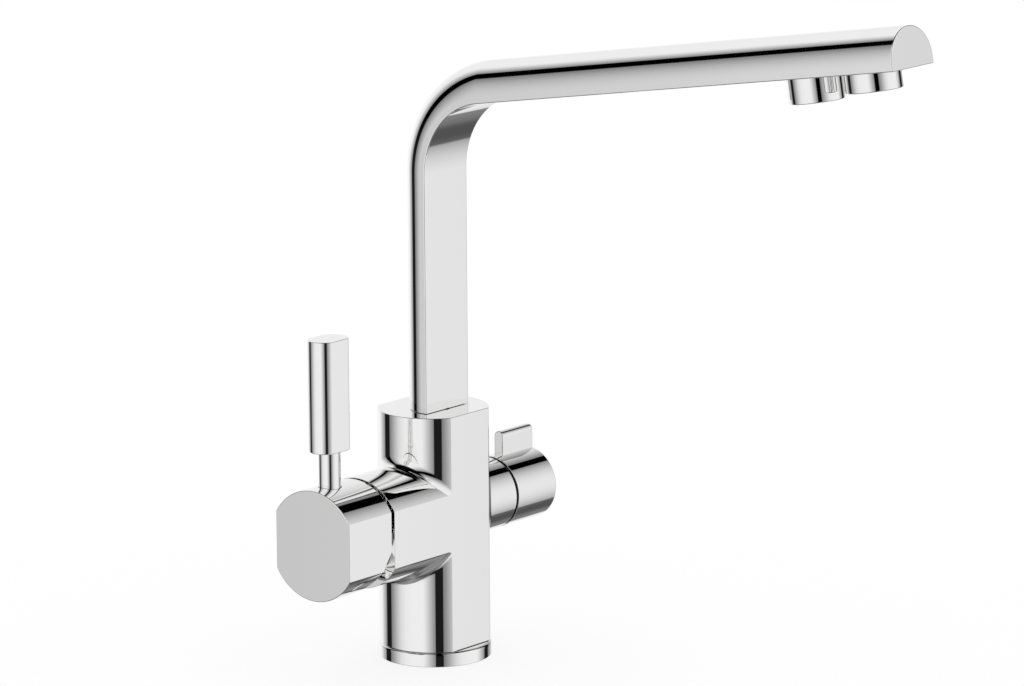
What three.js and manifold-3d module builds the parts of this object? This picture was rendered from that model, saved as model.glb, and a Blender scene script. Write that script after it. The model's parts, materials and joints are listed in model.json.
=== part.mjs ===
// Three way filtered water tap: double-D column, side mixer with a pin lever,
// filter valve with a paddle knob, and a swivelling D-section spout with two outlets.
// Millimetres, +Z up, worktop at Z = 0, spout towards +X, mixer towards -Y, filter valve towards +Y.
import * as THREE from 'three';
import { ParametricGeometry } from 'three/addons/geometries/ParametricGeometry.js';
import { mergeVertices } from 'three/addons/utils/BufferGeometryUtils.js';
import Module from 'manifold-3d';

const wasm = await Module();
wasm.setup();

// ---------------------------------------------------------------- clearances
const SLIP = 0.3;               // between faceted pieces that sit one inside the other
const CLOSE = 0.15;             // round piece in a round hole of the same facet count
const RUN = 0.4;                // between pieces that turn or slide past each other

// ---------------------------------------------------------------- column and base
const BODY_R = 25;              // round of the column, the mixer housing and the mixer cap
const FLAT_DEPTH = 3.6;         // each of the two flats is cut this deep into the round
const BODY_FLAT = BODY_R - FLAT_DEPTH;
const BODY_TOP = 114.2;
const RING_R = BODY_R + 0.45;   // base ring, slightly prouder than the column
const RING_TOP = 6.4;
const RING_EDGE = 0.6;          // bevel of its upper edge
const BODY_GAP = 0.2;           // shadow gap between the ring and the column
const SPACER_SEAT = 1.2;        // the black spacer that keeps the gap is let into the ring this deep
const SPACER_INSET = 0.8;
const COVE_R = 5;               // cove in the corner between the column and the mixer housing
const RING_SPIGOT_R = BODY_FLAT - 2.1;          // upstand of the ring that centres the column
const RING_WALL = 2.3;
const RING_BORE = RING_SPIGOT_R - RING_WALL;
const RING_SPIGOT_TOP = 11.8;
const RECESS_TOP = 12.6;        // roof of the recess under the column
const STUD_R = 3.4;
const STUD_DEPTH = 18;
const SEAL_OUT = RING_R - 2.85; // worktop seal let into the underside of the ring
const SEAL_WIDTH = 3.6;
const SEAL_IN = SEAL_OUT - SEAL_WIDTH;
const SEAL_DEPTH = 1.5;

// ---------------------------------------------------------------- inlets and waterways
const PORT_ANGLES = { hot: 210, cold: 330, filtered: 90 };
const PORT_R = 4.6;             // threaded shank of an inlet adaptor
const PORT_HEAD_R = 5.6;
const PORT_ROOM = 1.2;          // between an inlet's head and the ring
const PORT_CIRCLE_R = RING_BORE - PORT_HEAD_R - PORT_ROOM;
const PORT_BORE = 2.9;
const PORT_SHANK = 11;
const PORT_HEAD = 4.2;
const WATERWAY_R = 2;
const FILTER_WAY_R = 2.4;

// ---------------------------------------------------------------- mixer (distances along -Y)
const MIXER_Z = 66;
const HOUSING_END = 52;
const CAP_GAP = 2;
const CAP_FACE = 82.5;
const CAP_WALL = 1.4;
const CAP_FRONT = 5;
const CAP_BOSS_R = 8;
const CAP_BOSS_START = 66;
const RELIEF_START = 4.3;       // below the axis, where the rear rim starts to fall away
const RELIEF_ANGLE = 34;        // from the rim plane
const CAP_GRUB = 72;            // grub screw under the cap
const PIVOT = 44;               // the lever rocks about this point
const HOUSING_WALL = 3.6;       // between the cartridge bore and the flats
const CARTRIDGE_R = BODY_FLAT - HOUSING_WALL - SLIP;
const CARTRIDGE_FLOOR = 16;
const SEAL_DISC = 1.2;
const BASE_DISC = 4.8;
const CARTRIDGE_WALL = 3.5;
const CHAMBER_R = CARTRIDGE_R - CARTRIDGE_WALL;
const DISC_FIXED = 4;
const DISC_MOVING = 3.6;
const DISC_TRAVEL = 3.6;        // room round the moving disc
const DISC_MOVING_R = CHAMBER_R - DISC_TRAVEL;
const CARRIER = 4.4;
const TURRET_TOP = 50;
const TURRET_STEP = 3.5;
const TURRET_NECK_R = CHAMBER_R - TURRET_STEP;
const LIP_START = 42.2;
const LIP_END = 46;
const PIN_R = 1.3;
const SPINDLE_HALF = 3.5;
const SPINDLE_END = 74;
const NUT_END = 51.4;
const NUT_WALL = 5.5;
const NUT_BORE = CARTRIDGE_R - NUT_WALL;
const NECK_ROOM = 1.3;          // between the ball neck and the flats inside the cap
const NECK_LIP = 1.9;           // width of the neck's end face
const PORT_MARGIN = 2.87;       // between a cartridge port and the rim of its disc
const INLET_DROP = 5;           // hot and cold ports below the cartridge axis
const OUTLET_RISE = 8;          // mixed port above the cartridge axis

// ---------------------------------------------------------------- lever
const LEVER_Y = 70.6;
const STEM_R = 4.95;
const STEM_TIP_R = 3.4;
const GRIP_R = 7.45;            // of its two round edges
const GRIP_FLAT = 5;            // width of its flat sides
const GRIP_BOTTOM = 107.2;
const GRIP_TOP = 157.4;
const GRIP_SPIGOT_R = 3.6;
const GRIP_SPIGOT = 14;

// ---------------------------------------------------------------- filter valve (distances along +Y)
const VALVE_Z = 67;
const VALVE_R = 16.4;
const COLLAR_END = 38.8;
const KNOB_START = 40.4;
const KNOB_END = 67.2;
const KNOB_WALL = 2.4;
const KNOB_CAP = 5.4;
const KNOB_EDGE = 0.5;
const KNOB_BOSS_R = 7.4;
const KNOB_BOSS_START = 47;
const PADDLE_T = 4.4;
const PADDLE_START = 45.7;
const PADDLE_END = 67;
const PADDLE_TOP = 27.2;        // above the valve axis
const PADDLE_CORNER = 1.8;
const VALVE_FLOOR = 14;
const COLLAR_WALL = 2.5;
const COUNTERBORE = VALVE_R - COLLAR_WALL;
const COLLAR_STEP = 3.7;
const VALVE_BORE = COUNTERBORE - COLLAR_STEP;
const HEX_START = 32;
const HEX_END = 36;
const HEX_FLATS = 2 * VALVE_BORE - 1.4;
const VALVE_NECK_R = 7;
const VALVE_NECK_END = 44;
const HEAD_WALL = 2.4;
const DISC_CHAMBER = VALVE_BORE - SLIP - HEAD_WALL;
const CHAMBER_END = 24.8;
const SPINDLE_FLANGE = 22.4;
const SPINDLE_GROOVE = 34;
const GLIDE_LAP = 4;            // of the glide ring inside the knob
const KNOB_GRUB = 53;
const DISC_T = 2;
const STEM_BORE = 4.4;
const SPINDLE_R = 4.1;
const SPINDLE_TIP_R = 3.8;
const VALVE_FEED = 20;          // feed from the filtered inlet enters here
const FEED_DROP = 21;           // its cross passage runs this far below the axis

// ---------------------------------------------------------------- spout
const SPOUT_W = 29.3;           // across the round of the D
const SPOUT_FLAT = 8.5;         // flat of the D, from the swivel axis
const SPOUT_STRAIGHT = 3;     // straight sides between the flat and the half round
const SPOUT_WALL = 2.2;
const SPOUT_LIFT = 0.4;         // riser stands on the swivel bush just clear of the column
const BEND_CENTRE_Z = 222.1;
const BEND_IN = 35.9;           // inside radius, on the flat
const ARM_TILT = 9.46;          // arm climbs by this angle
const ARM_LENGTH = 226.2;       // straight part after the bend
const ARM_END_WALL = 3;
const SHANK_R = 7.4;
const SHANK_LENGTH = 24.2;      // below the top of the column
const SHANK_BORE = 5.2;
const SWIVEL_BORE = 8.8;
const SHANK_ROOM = 2;           // below the shank, in the swivel bore
const RING_SECTION = 1.05;      // radius of the O-ring cord
const GROOVE_HALF = 1.35;
const BUSH_LENGTH = 4.2;
const LOWER_RING_DEPTH = 17.2;  // these three are below the top of the column
const UPPER_RING_DEPTH = 12.2;
const STOP_DEPTH = 7.2;         // groove and grub screw that keep the spout down
const STOP_GROOVE_R = 6.1;
const STOP_SCREW_R = 2.4;
const PLUG_H = 8;

// ---------------------------------------------------------------- outlets
const OUTLET_R = 11.9;
const MIXED_FROM_TIP = 51.7;
const FILTERED_FROM_TIP = 21;
const MIXED_DROP = 11.3;
const FILTERED_DROP = 8.8;
const OUTLET_NECK = 7.8;
const OUTLET_THROAT = 6.6;
const OUTLET_BORE = 10.2;
const OUTLET_SHOULDER = 1.6;
const WASHER_T = 1;
const INSERT_BACK = 0.6;
const INSERT_CELL = 5.2;
const INSERT_HOLE = 2.1;
const TUBE_R = 2.8;
const TUBE_BORE = 1.9;
const TUBE_BOTTOM = 80;
const TUBE_TURN = 6;

// ---------------------------------------------------------------- small helpers
const rad = THREE.MathUtils.degToRad;
const vec = (x, y, z) => new THREE.Vector3(x, y, z);
const X = vec(1, 0, 0);
const Y = vec(0, 1, 0);
const Z = vec(0, 0, 1);

// A frame whose local Z runs along the given direction, starting at the given point.
function frame(origin, along, across = X) {
  const y = along.clone().cross(across).normalize();
  const x = y.clone().cross(along).normalize();
  return new THREE.Matrix4().makeBasis(x, y, along).setPosition(origin);
}

const UP = new THREE.Matrix4();
const MIXER = frame(vec(0, 0, MIXER_Z), Y.clone().negate());
const VALVE = frame(vec(0, 0, VALVE_Z), Y, X.clone().negate());

// Turns a closed three.js surface into a solid that can be joined and cut.
function solid(geometry, matrix = UP) {
  const g = geometry.clone().applyMatrix4(matrix);
  g.deleteAttribute('normal');
  g.deleteAttribute('uv');
  const m = mergeVertices(g, 1e-4);
  const p = m.attributes.position;
  const corner = [0, 1, 2].map(() => vec(0, 0, 0));
  const kept = [];
  let volume = 0;
  for (let i = 0; i < m.index.count; i += 3) {
    const t = [m.index.getX(i), m.index.getX(i + 1), m.index.getX(i + 2)];
    if (t[0] === t[1] || t[1] === t[2] || t[2] === t[0]) continue;
    t.forEach((v, k) => corner[k].fromBufferAttribute(p, v));
    volume += corner[0].dot(corner[1].clone().cross(corner[2]));
    kept.push(t);
  }
  const triangles = volume < 0 ? kept.map(([a, b, c]) => [a, c, b]) : kept;
  return new wasm.Manifold(new wasm.Mesh({
    numProp: 3,
    vertProperties: new Float32Array(p.array),
    triVerts: new Uint32Array(triangles.flat()),
  }));
}

const join = (...parts) => parts.reduce((a, b) => a.add(b));
const cut = (blank, ...tools) => tools.reduce((a, b) => a.subtract(b), blank);

// Round piece turned from a profile of [radius, distance] points about local Z.
function turned(profile, matrix = UP, segments = 16) {
  const points = profile.map(([r, d]) => new THREE.Vector2(r, d));
  return solid(new THREE.LatheGeometry(points, segments).rotateX(Math.PI / 2), matrix);
}

function rod(radius, from, to, matrix = UP, segments = 16) {
  return turned([[0, from], [radius, from], [radius, to], [0, to]], matrix, segments);
}

function sleeve(bore, radius, from, to, matrix = UP, segments = 16) {
  const profile = [[bore, from], [radius, from], [radius, to], [bore, to], [bore, from]];
  return turned(profile, matrix, segments);
}

function prism(shape, from, to, matrix = UP, curveSegments = 8) {
  const g = new THREE.ExtrudeGeometry(shape, { depth: to - from, bevelEnabled: false, curveSegments });
  return solid(g.translate(0, 0, from), matrix);
}

function box(x0, x1, y0, y1, z0, z1, matrix = UP) {
  const g = new THREE.BoxGeometry(x1 - x0, y1 - y0, z1 - z0);
  return solid(g.translate((x0 + x1) / 2, (y0 + y1) / 2, (z0 + z1) / 2), matrix);
}

// Hole drilled from one point towards another.
function drilled(radius, from, to, segments = 10) {
  const along = to.clone().sub(from);
  const length = along.length();
  const across = Math.abs(along.x) > 0.9 * length ? Y : X;
  return rod(radius, 0, length, frame(from, along.normalize(), across), segments);
}

// Circle of radius r with two flats at x = +flat and x = -flat.
function doubleD(r, flat) {
  const a = Math.acos(flat / r);
  const shape = new THREE.Shape();
  shape.absarc(0, 0, r, a, Math.PI - a, false);
  shape.absarc(0, 0, r, Math.PI + a, 2 * Math.PI - a, false);
  shape.closePath();
  return shape;
}

// Two half rounds of radius r joined by straight sides of the given width at x = +r and x = -r.
function obround(r, width) {
  const shape = new THREE.Shape();
  shape.absarc(0, width / 2, r, 0, Math.PI, false);
  shape.absarc(0, -width / 2, r, Math.PI, 2 * Math.PI, false);
  shape.closePath();
  return shape;
}

// Filler of the corner between the column and a round branch, left by a ball rolled along the joint.
// The branch runs along local Z and the column along local Y. Angles go round the branch from local Y.
function cove(branchR, ballR, matrix, from, to, steps) {
  const arcSteps = 3;
  const rows = steps + 2;
  const around = arcSteps + 4;
  const surface = (u, v, target) => {
    const row = Math.round(u * rows);
    const k = Math.min(Math.max(row - 1, 0), steps);
    const t = from + ((to - from) * k) / steps;
    const x = (branchR + ballR) * Math.sin(t);
    const y = (branchR + ballR) * Math.cos(t);
    const ball = vec(x, y, Math.sqrt((BODY_R + ballR) ** 2 - x * x));
    const toColumn = vec(-ball.x, 0, -ball.z).normalize();
    const toBranch = vec(-ball.x, -ball.y, 0).normalize();
    const inner = ball.clone().addScaledVector(toColumn, ballR + 0.6).addScaledVector(toBranch, ballR + 0.6);
    const place = Math.round(v * around) % around;
    if (row === 0 || row === rows) {
      target.copy(inner).lerp(ball, 0.2);
    } else if (place <= arcSteps) {
      const angle = toColumn.angleTo(toBranch);
      const a = Math.sin(angle * (1 - place / arcSteps)) / Math.sin(angle);
      const b = Math.sin((angle * place) / arcSteps) / Math.sin(angle);
      target.copy(ball).addScaledVector(toColumn, ballR * a).addScaledVector(toBranch, ballR * b);
    } else if (place === arcSteps + 1) {
      target.copy(ball).addScaledVector(toBranch, ballR + 0.3);
    } else if (place === arcSteps + 2) {
      target.copy(inner);
    } else {
      target.copy(ball).addScaledVector(toColumn, ballR + 0.3);
    }
  };
  return solid(new ParametricGeometry(surface, rows, around), matrix);
}

function hexagon(acrossFlats) {
  const r = acrossFlats / Math.sqrt(3);
  const points = [0, 1, 2, 3, 4, 5].map((k) => new THREE.Vector2(
    r * Math.cos(rad(60 * k + 30)),
    r * Math.sin(rad(60 * k + 30)),
  ));
  return new THREE.Shape(points);
}

// D of the spout: flat towards +x, half round towards -x, shrunk evenly by inset.
function spoutD(inset = 0) {
  const r = SPOUT_W / 2 - inset;
  const flat = SPOUT_FLAT - inset;
  const centre = SPOUT_FLAT - SPOUT_STRAIGHT;
  const shape = new THREE.Shape();
  shape.moveTo(flat, -r);
  shape.lineTo(flat, r);
  shape.lineTo(centre, r);
  shape.absarc(centre, 0, r, Math.PI / 2, 1.5 * Math.PI, false);
  shape.closePath();
  return shape;
}

// A line in the XZ plane made of straight runs and bends towards the flat of the D.
class TapLine extends THREE.Curve {
  constructor(start, moves) {
    super();
    this.stations = [];
    let heading = 0;
    let point = start.clone();
    const note = () => this.stations.push({
      point: point.clone(),
      tangent: vec(Math.sin(heading), 0, Math.cos(heading)),
      normal: vec(Math.cos(heading), 0, -Math.sin(heading)),
    });
    note();
    for (const { run, bend, angle, steps } of moves) {
      if (run) {
        point.addScaledVector(this.stations.at(-1).tangent, run);
        note();
        continue;
      }
      const centre = point.clone().addScaledVector(this.stations.at(-1).normal, bend);
      for (let k = 1; k <= steps; k += 1) {
        heading += angle / steps;
        point = centre.clone().sub(vec(Math.cos(heading), 0, -Math.sin(heading)).multiplyScalar(bend));
        note();
      }
    }
  }

  getSpacedPoints() {
    return this.stations.map((s) => s.point);
  }

  computeFrenetFrames() {
    return {
      tangents: this.stations.map((s) => s.tangent),
      normals: this.stations.map((s) => s.normal),
      binormals: this.stations.map(() => Y.clone()),
    };
  }
}

function swept(shape, line, curveSegments = 12) {
  const steps = line.stations.length - 1;
  return solid(new THREE.ExtrudeGeometry(shape, { steps, extrudePath: line, curveSegments }));
}

function disc(radius) {
  return new THREE.Shape().absarc(0, 0, radius, 0, 2 * Math.PI, false);
}

// ---------------------------------------------------------------- materials
const finish = (color, roughness, metalness) => ({ color, roughness, metalness });
const CHROME = finish(0xd6d8da, 0.06, 1);
const BRASS = finish(0xc9a962, 0.32, 1);
const STEEL = finish(0xb7babd, 0.3, 1);
const RUBBER = finish(0x191919, 0.85, 0);
const BLACK_PLASTIC = finish(0x222324, 0.5, 0);
const WHITE_PLASTIC = finish(0xe9e9e4, 0.45, 0);
const GREY_PLASTIC = finish(0x8f9396, 0.5, 0);
const CERAMIC = finish(0xf2efe8, 0.2, 0);

const tap = new THREE.Group();
tap.name = 'three_way_filter_tap';

function piece(name, body, look) {
  const { vertProperties, triVerts } = body.getMesh();
  const g = new THREE.BufferGeometry();
  g.setAttribute('position', new THREE.BufferAttribute(new Float32Array(vertProperties), 3));
  g.setIndex(new THREE.BufferAttribute(new Uint32Array(triVerts), 1));
  g.computeVertexNormals();
  const mesh = new THREE.Mesh(g, new THREE.MeshStandardMaterial(look));
  mesh.name = name;
  tap.add(mesh);
}

// ---------------------------------------------------------------- places derived from the sizes
const bodyBottom = RING_TOP + BODY_GAP;
const ringSeat = RING_TOP - SPACER_SEAT;
const portAt = (name, z) => vec(
  PORT_CIRCLE_R * Math.cos(rad(PORT_ANGLES[name])),
  PORT_CIRCLE_R * Math.sin(rad(PORT_ANGLES[name])),
  z,
);
const spoutFoot = BODY_TOP + SPOUT_LIFT;
const shankFoot = BODY_TOP - SHANK_LENGTH;
const swivelFloor = shankFoot - SHANK_ROOM;
const stopZ = BODY_TOP - STOP_DEPTH;
const ringZ = [BODY_TOP - LOWER_RING_DEPTH, BODY_TOP - UPPER_RING_DEPTH];
const bendRadius = BEND_IN + SPOUT_FLAT;
const bendAngle = rad(90 - ARM_TILT);
const bendSteps = 10;
const armWay = vec(Math.cos(rad(ARM_TILT)), 0, Math.sin(rad(ARM_TILT)));
const armDown = vec(Math.sin(rad(ARM_TILT)), 0, -Math.cos(rad(ARM_TILT)));
const bendEnd = vec(bendRadius, 0, BEND_CENTRE_Z).addScaledVector(armDown, -bendRadius);
const outletFrame = (fromTip) => frame(
  bendEnd.clone().addScaledVector(armWay, ARM_LENGTH - fromTip),
  armDown,
  Y,
);

// ---------------------------------------------------------------- base
const ringProfile = [
  [RING_BORE, 0],
  [SEAL_IN - SLIP, 0],
  [SEAL_IN - SLIP, SEAL_DEPTH],
  [SEAL_OUT + SLIP, SEAL_DEPTH],
  [SEAL_OUT + SLIP, 0],
  [RING_R, 0],
  [RING_R, ringSeat],
  [RING_SPIGOT_R, ringSeat],
  [RING_SPIGOT_R, RING_SPIGOT_TOP],
  [RING_BORE, RING_SPIGOT_TOP],
  [RING_BORE, 0],
];
const ringRim = turned([
  [0, ringSeat - 1],
  [RING_R, ringSeat - 1],
  [RING_R, RING_TOP - RING_EDGE],
  [RING_R - RING_EDGE, RING_TOP],
  [0, RING_TOP],
], UP, 32);
const spacerPocket = doubleD(BODY_R - SPACER_INSET + SLIP, BODY_FLAT - SPACER_INSET + SLIP);
piece('base_ring', join(
  turned(ringProfile, UP, 32),
  cut(ringRim, prism(spacerPocket, ringSeat - 2, RING_TOP + 1, UP, 6)),
), CHROME);
piece('worktop_seal', sleeve(SEAL_IN, SEAL_OUT, 0, SEAL_DEPTH, UP, 24), RUBBER);

const recessR = RING_SPIGOT_R + SLIP;
const spacerOutline = doubleD(BODY_R - SPACER_INSET, BODY_FLAT - SPACER_INSET);
piece('column_spacer', cut(
  prism(spacerOutline, ringSeat, bodyBottom, UP, 6),
  rod(recessR, 0, bodyBottom + 1, UP, 28),
), BLACK_PLASTIC);

// ---------------------------------------------------------------- column casting
const column = prism(doubleD(BODY_R, BODY_FLAT), bodyBottom, BODY_TOP);
const mixerHousing = prism(doubleD(BODY_R, BODY_FLAT), 0, HOUSING_END, MIXER);
const valveCollar = rod(VALVE_R, 0, COLLAR_END, VALVE, 40);
const coveEnd = 1.25 * Math.asin(BODY_FLAT / BODY_R);
const housingCoves = join(
  cove(BODY_R, COVE_R, MIXER, -coveEnd, coveEnd, 10),
  cove(BODY_R, COVE_R, MIXER, Math.PI - coveEnd, Math.PI + coveEnd, 10),
).intersect(box(-BODY_FLAT, BODY_FLAT, -60, 60, 0, BODY_TOP));

const cartridgePortX = CHAMBER_R - SLIP - WATERWAY_R - PORT_MARGIN;
const inletWays = ['hot', 'cold'].flatMap((name) => {
  const turn = portAt(name, MIXER_Z - INLET_DROP);
  const face = vec(Math.sign(turn.x) * cartridgePortX, -CARTRIDGE_FLOOR - 1, turn.z);
  return [
    drilled(WATERWAY_R, portAt(name, RECESS_TOP), turn.clone().add(vec(0, 0, WATERWAY_R))),
    drilled(WATERWAY_R, turn, face),
  ];
});
const sockets = Object.keys(PORT_ANGLES).map((name) => drilled(
  PORT_R + SLIP,
  portAt(name, RECESS_TOP - 1),
  portAt(name, RECESS_TOP + PORT_SHANK + 1),
  16,
));
const mixedY = -(SWIVEL_BORE - WATERWAY_R - 0.5);
const mixedTurn = vec(0, mixedY, MIXER_Z + OUTLET_RISE);
const mixedWay = [
  drilled(WATERWAY_R, mixedTurn.clone().setY(-CARTRIDGE_FLOOR - 1), mixedTurn.clone().add(vec(0, 1, 0))),
  drilled(WATERWAY_R, mixedTurn, vec(0, mixedY, swivelFloor + 1)),
];
const feedTop = VALVE_Z - FEED_DROP;
const feedAxis = feedTop - FILTER_WAY_R;
const filteredWay = [
  drilled(FILTER_WAY_R, portAt('filtered', RECESS_TOP), portAt('filtered', feedTop)),
  drilled(FILTER_WAY_R, portAt('filtered', feedAxis), vec(0, VALVE_FEED, feedAxis)),
  drilled(FILTER_WAY_R, vec(0, VALVE_FEED, feedAxis - SLIP), vec(0, VALVE_FEED, VALVE_Z)),
  drilled(FILTER_WAY_R, vec(0, 0, VALVE_Z), vec(0, VALVE_FLOOR + 1, VALVE_Z)),
  rod(TUBE_R + SLIP, VALVE_Z - 1, swivelFloor + 1, UP, 16),
];
const stopScrewWay = drilled(
  STOP_SCREW_R + SLIP,
  vec(-BODY_FLAT - 1, 0, stopZ),
  vec(1 - SWIVEL_BORE, 0, stopZ),
  16,
);

piece('column_body', cut(
  join(column, mixerHousing, valveCollar, housingCoves),
  rod(recessR, bodyBottom - 1, RECESS_TOP, UP, 32),
  rod(STUD_R, RECESS_TOP - 1, RECESS_TOP + STUD_DEPTH, UP, 12),
  rod(SWIVEL_BORE, swivelFloor, BODY_TOP + 1, UP, 24),
  rod(CARTRIDGE_R + SLIP, CARTRIDGE_FLOOR, HOUSING_END + 1, MIXER, 24),
  rod(VALVE_BORE, VALVE_FLOOR, COLLAR_END + 1, VALVE, 24),
  rod(COUNTERBORE, HEX_START - SLIP, COLLAR_END + 1, VALVE, 32),
  ...sockets,
  ...inletWays,
  ...mixedWay,
  ...filteredWay,
  stopScrewWay,
), CHROME);

// ---------------------------------------------------------------- inlet adaptors
for (const name of Object.keys(PORT_ANGLES)) {
  const at = frame(portAt(name, 0), Z);
  const adaptor = turned([
    [PORT_BORE, RECESS_TOP - PORT_HEAD],
    [PORT_HEAD_R, RECESS_TOP - PORT_HEAD],
    [PORT_HEAD_R, RECESS_TOP],
    [PORT_R, RECESS_TOP],
    [PORT_R, RECESS_TOP + PORT_SHANK],
    [PORT_BORE, RECESS_TOP + PORT_SHANK],
    [PORT_BORE, RECESS_TOP - PORT_HEAD],
  ], at, 14);
  piece(`${name}_inlet`, adaptor, BRASS);
}

// ---------------------------------------------------------------- mixer cartridge
const cartridgePorts = [
  [cartridgePortX, -INLET_DROP],
  [-cartridgePortX, -INLET_DROP],
  [0, OUTLET_RISE],
];
const portHoles = (from, to) => cartridgePorts.map(([x, z]) => drilled(
  WATERWAY_R,
  vec(x, -from, MIXER_Z + z),
  vec(x, -to, MIXER_Z + z),
));
const sealEnd = CARTRIDGE_FLOOR + SEAL_DISC;
const baseEnd = sealEnd + BASE_DISC;
const fixedEnd = baseEnd + DISC_FIXED;
const movingEnd = fixedEnd + DISC_MOVING;
const carrierEnd = movingEnd + CARRIER;

piece('cartridge_seal', cut(
  rod(CARTRIDGE_R - 1, CARTRIDGE_FLOOR, sealEnd, MIXER),
  ...portHoles(CARTRIDGE_FLOOR - 1, sealEnd + 1),
), RUBBER);

piece('cartridge_base', cut(
  rod(CARTRIDGE_R, sealEnd, baseEnd, MIXER, 24),
  ...portHoles(sealEnd - 1, baseEnd + 1),
), GREY_PLASTIC);

piece('cartridge_shell', turned([
  [CHAMBER_R, baseEnd],
  [CARTRIDGE_R, baseEnd],
  [CARTRIDGE_R, LIP_END],
  [TURRET_NECK_R + RUN, LIP_END],
  [TURRET_NECK_R + RUN, LIP_START],
  [CHAMBER_R, LIP_START],
  [CHAMBER_R, baseEnd],
], MIXER, 24), WHITE_PLASTIC);

piece('ceramic_disc_fixed', cut(
  rod(CHAMBER_R - SLIP, baseEnd, fixedEnd, MIXER),
  ...portHoles(baseEnd - 1, fixedEnd + 1),
), CERAMIC);

const kidneyHalf = cartridgePortX / 2 + 0.2;
const kidneyTop = OUTLET_RISE - 1;
const kidney = box(-kidneyHalf, kidneyHalf, -kidneyTop, kidneyHalf, fixedEnd - 1, fixedEnd + 1.6, MIXER);
piece('ceramic_disc_moving', cut(
  rod(DISC_MOVING_R, fixedEnd, movingEnd, MIXER),
  kidney,
), CERAMIC);

const lugHalf = 2.4;
const leverBallR = 2.1;
piece('disc_carrier', cut(
  rod(DISC_MOVING_R, movingEnd, carrierEnd, MIXER),
  box(-lugHalf, lugHalf, -lugHalf - RUN, lugHalf + RUN, movingEnd + 1, carrierEnd + 1, MIXER),
), GREY_PLASTIC);

const turretStart = carrierEnd + SLIP;
const slotHalf = 2.9;
const slotEnd = TURRET_NECK_R - 3.1;
const guideHalf = 4;
const guideWall = 1.2;
const pinHole = drilled(PIN_R + CLOSE, vec(-CARTRIDGE_R, -PIVOT, MIXER_Z), vec(CARTRIDGE_R, -PIVOT, MIXER_Z));
const turretBody = turned([
  [0, turretStart],
  [CHAMBER_R - RUN, turretStart],
  [CHAMBER_R - RUN, LIP_START - SLIP],
  [TURRET_NECK_R, LIP_START - SLIP],
  [TURRET_NECK_R, TURRET_TOP],
  [0, TURRET_TOP],
], MIXER);
const guide = (side) => {
  const inner = side * (DISC_MOVING_R + SLIP);
  const outer = side * (CHAMBER_R - RUN - guideWall);
  const [x0, x1] = [Math.min(inner, outer), Math.max(inner, outer)];
  return box(x0, x1, -guideHalf, guideHalf, fixedEnd + SLIP, turretStart + 1, MIXER);
};
piece('cartridge_turret', cut(
  join(turretBody, guide(1), guide(-1)),
  box(-slotHalf, slotHalf, -slotEnd, slotEnd, turretStart - 1, TURRET_TOP + 1, MIXER),
  pinHole,
), WHITE_PLASTIC);

piece('pivot_pin', drilled(
  PIN_R,
  vec(1 - TURRET_NECK_R, -PIVOT, MIXER_Z),
  vec(TURRET_NECK_R - 1, -PIVOT, MIXER_Z),
), STEEL);

const barHalf = slotHalf - RUN;
piece('cartridge_lever', cut(
  join(
    rod(leverBallR, movingEnd + 1.6, PIVOT - 3, MIXER, 16),
    box(-barHalf, barHalf, -SPINDLE_HALF, SPINDLE_HALF, PIVOT - 4, TURRET_TOP + 3, MIXER),
    box(-SPINDLE_HALF, SPINDLE_HALF, -SPINDLE_HALF, SPINDLE_HALF, TURRET_TOP + 2, SPINDLE_END, MIXER),
  ),
  pinHole,
), STEEL);

const spannerSlots = [0, 1].map((k) => {
  const turn = MIXER.clone().multiply(new THREE.Matrix4().makeRotationZ(rad(90 * k)));
  return box(-BODY_R, BODY_R, -2, 2, NUT_END - 2, NUT_END + 1, turn);
});
piece('cartridge_nut', cut(
  sleeve(NUT_BORE, CARTRIDGE_R, LIP_END, NUT_END, MIXER, 24),
  ...spannerSlots,
), BRASS);

// ball neck: part of a ball centred on the pivot
const capStart = HOUSING_END + CAP_GAP;
const neckBall = Math.hypot(BODY_FLAT - CAP_WALL - NECK_ROOM, capStart - PIVOT);
const neckEnd = PIVOT + Math.sqrt(neckBall ** 2 - (NUT_BORE + NECK_LIP) ** 2);
const neckProfile = [[NUT_BORE, NUT_END], [CARTRIDGE_R, NUT_END], [CARTRIDGE_R, HOUSING_END]];
const neckSteps = 3;
for (let k = 0; k <= neckSteps; k += 1) {
  const d = HOUSING_END + (neckEnd - HOUSING_END) * (k / neckSteps);
  neckProfile.push([Math.sqrt(neckBall ** 2 - (d - PIVOT) ** 2), d]);
}
neckProfile.push([NUT_BORE, neckEnd], [NUT_BORE, NUT_END]);
piece('mixer_neck', turned(neckProfile, MIXER, 24), CHROME);

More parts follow.
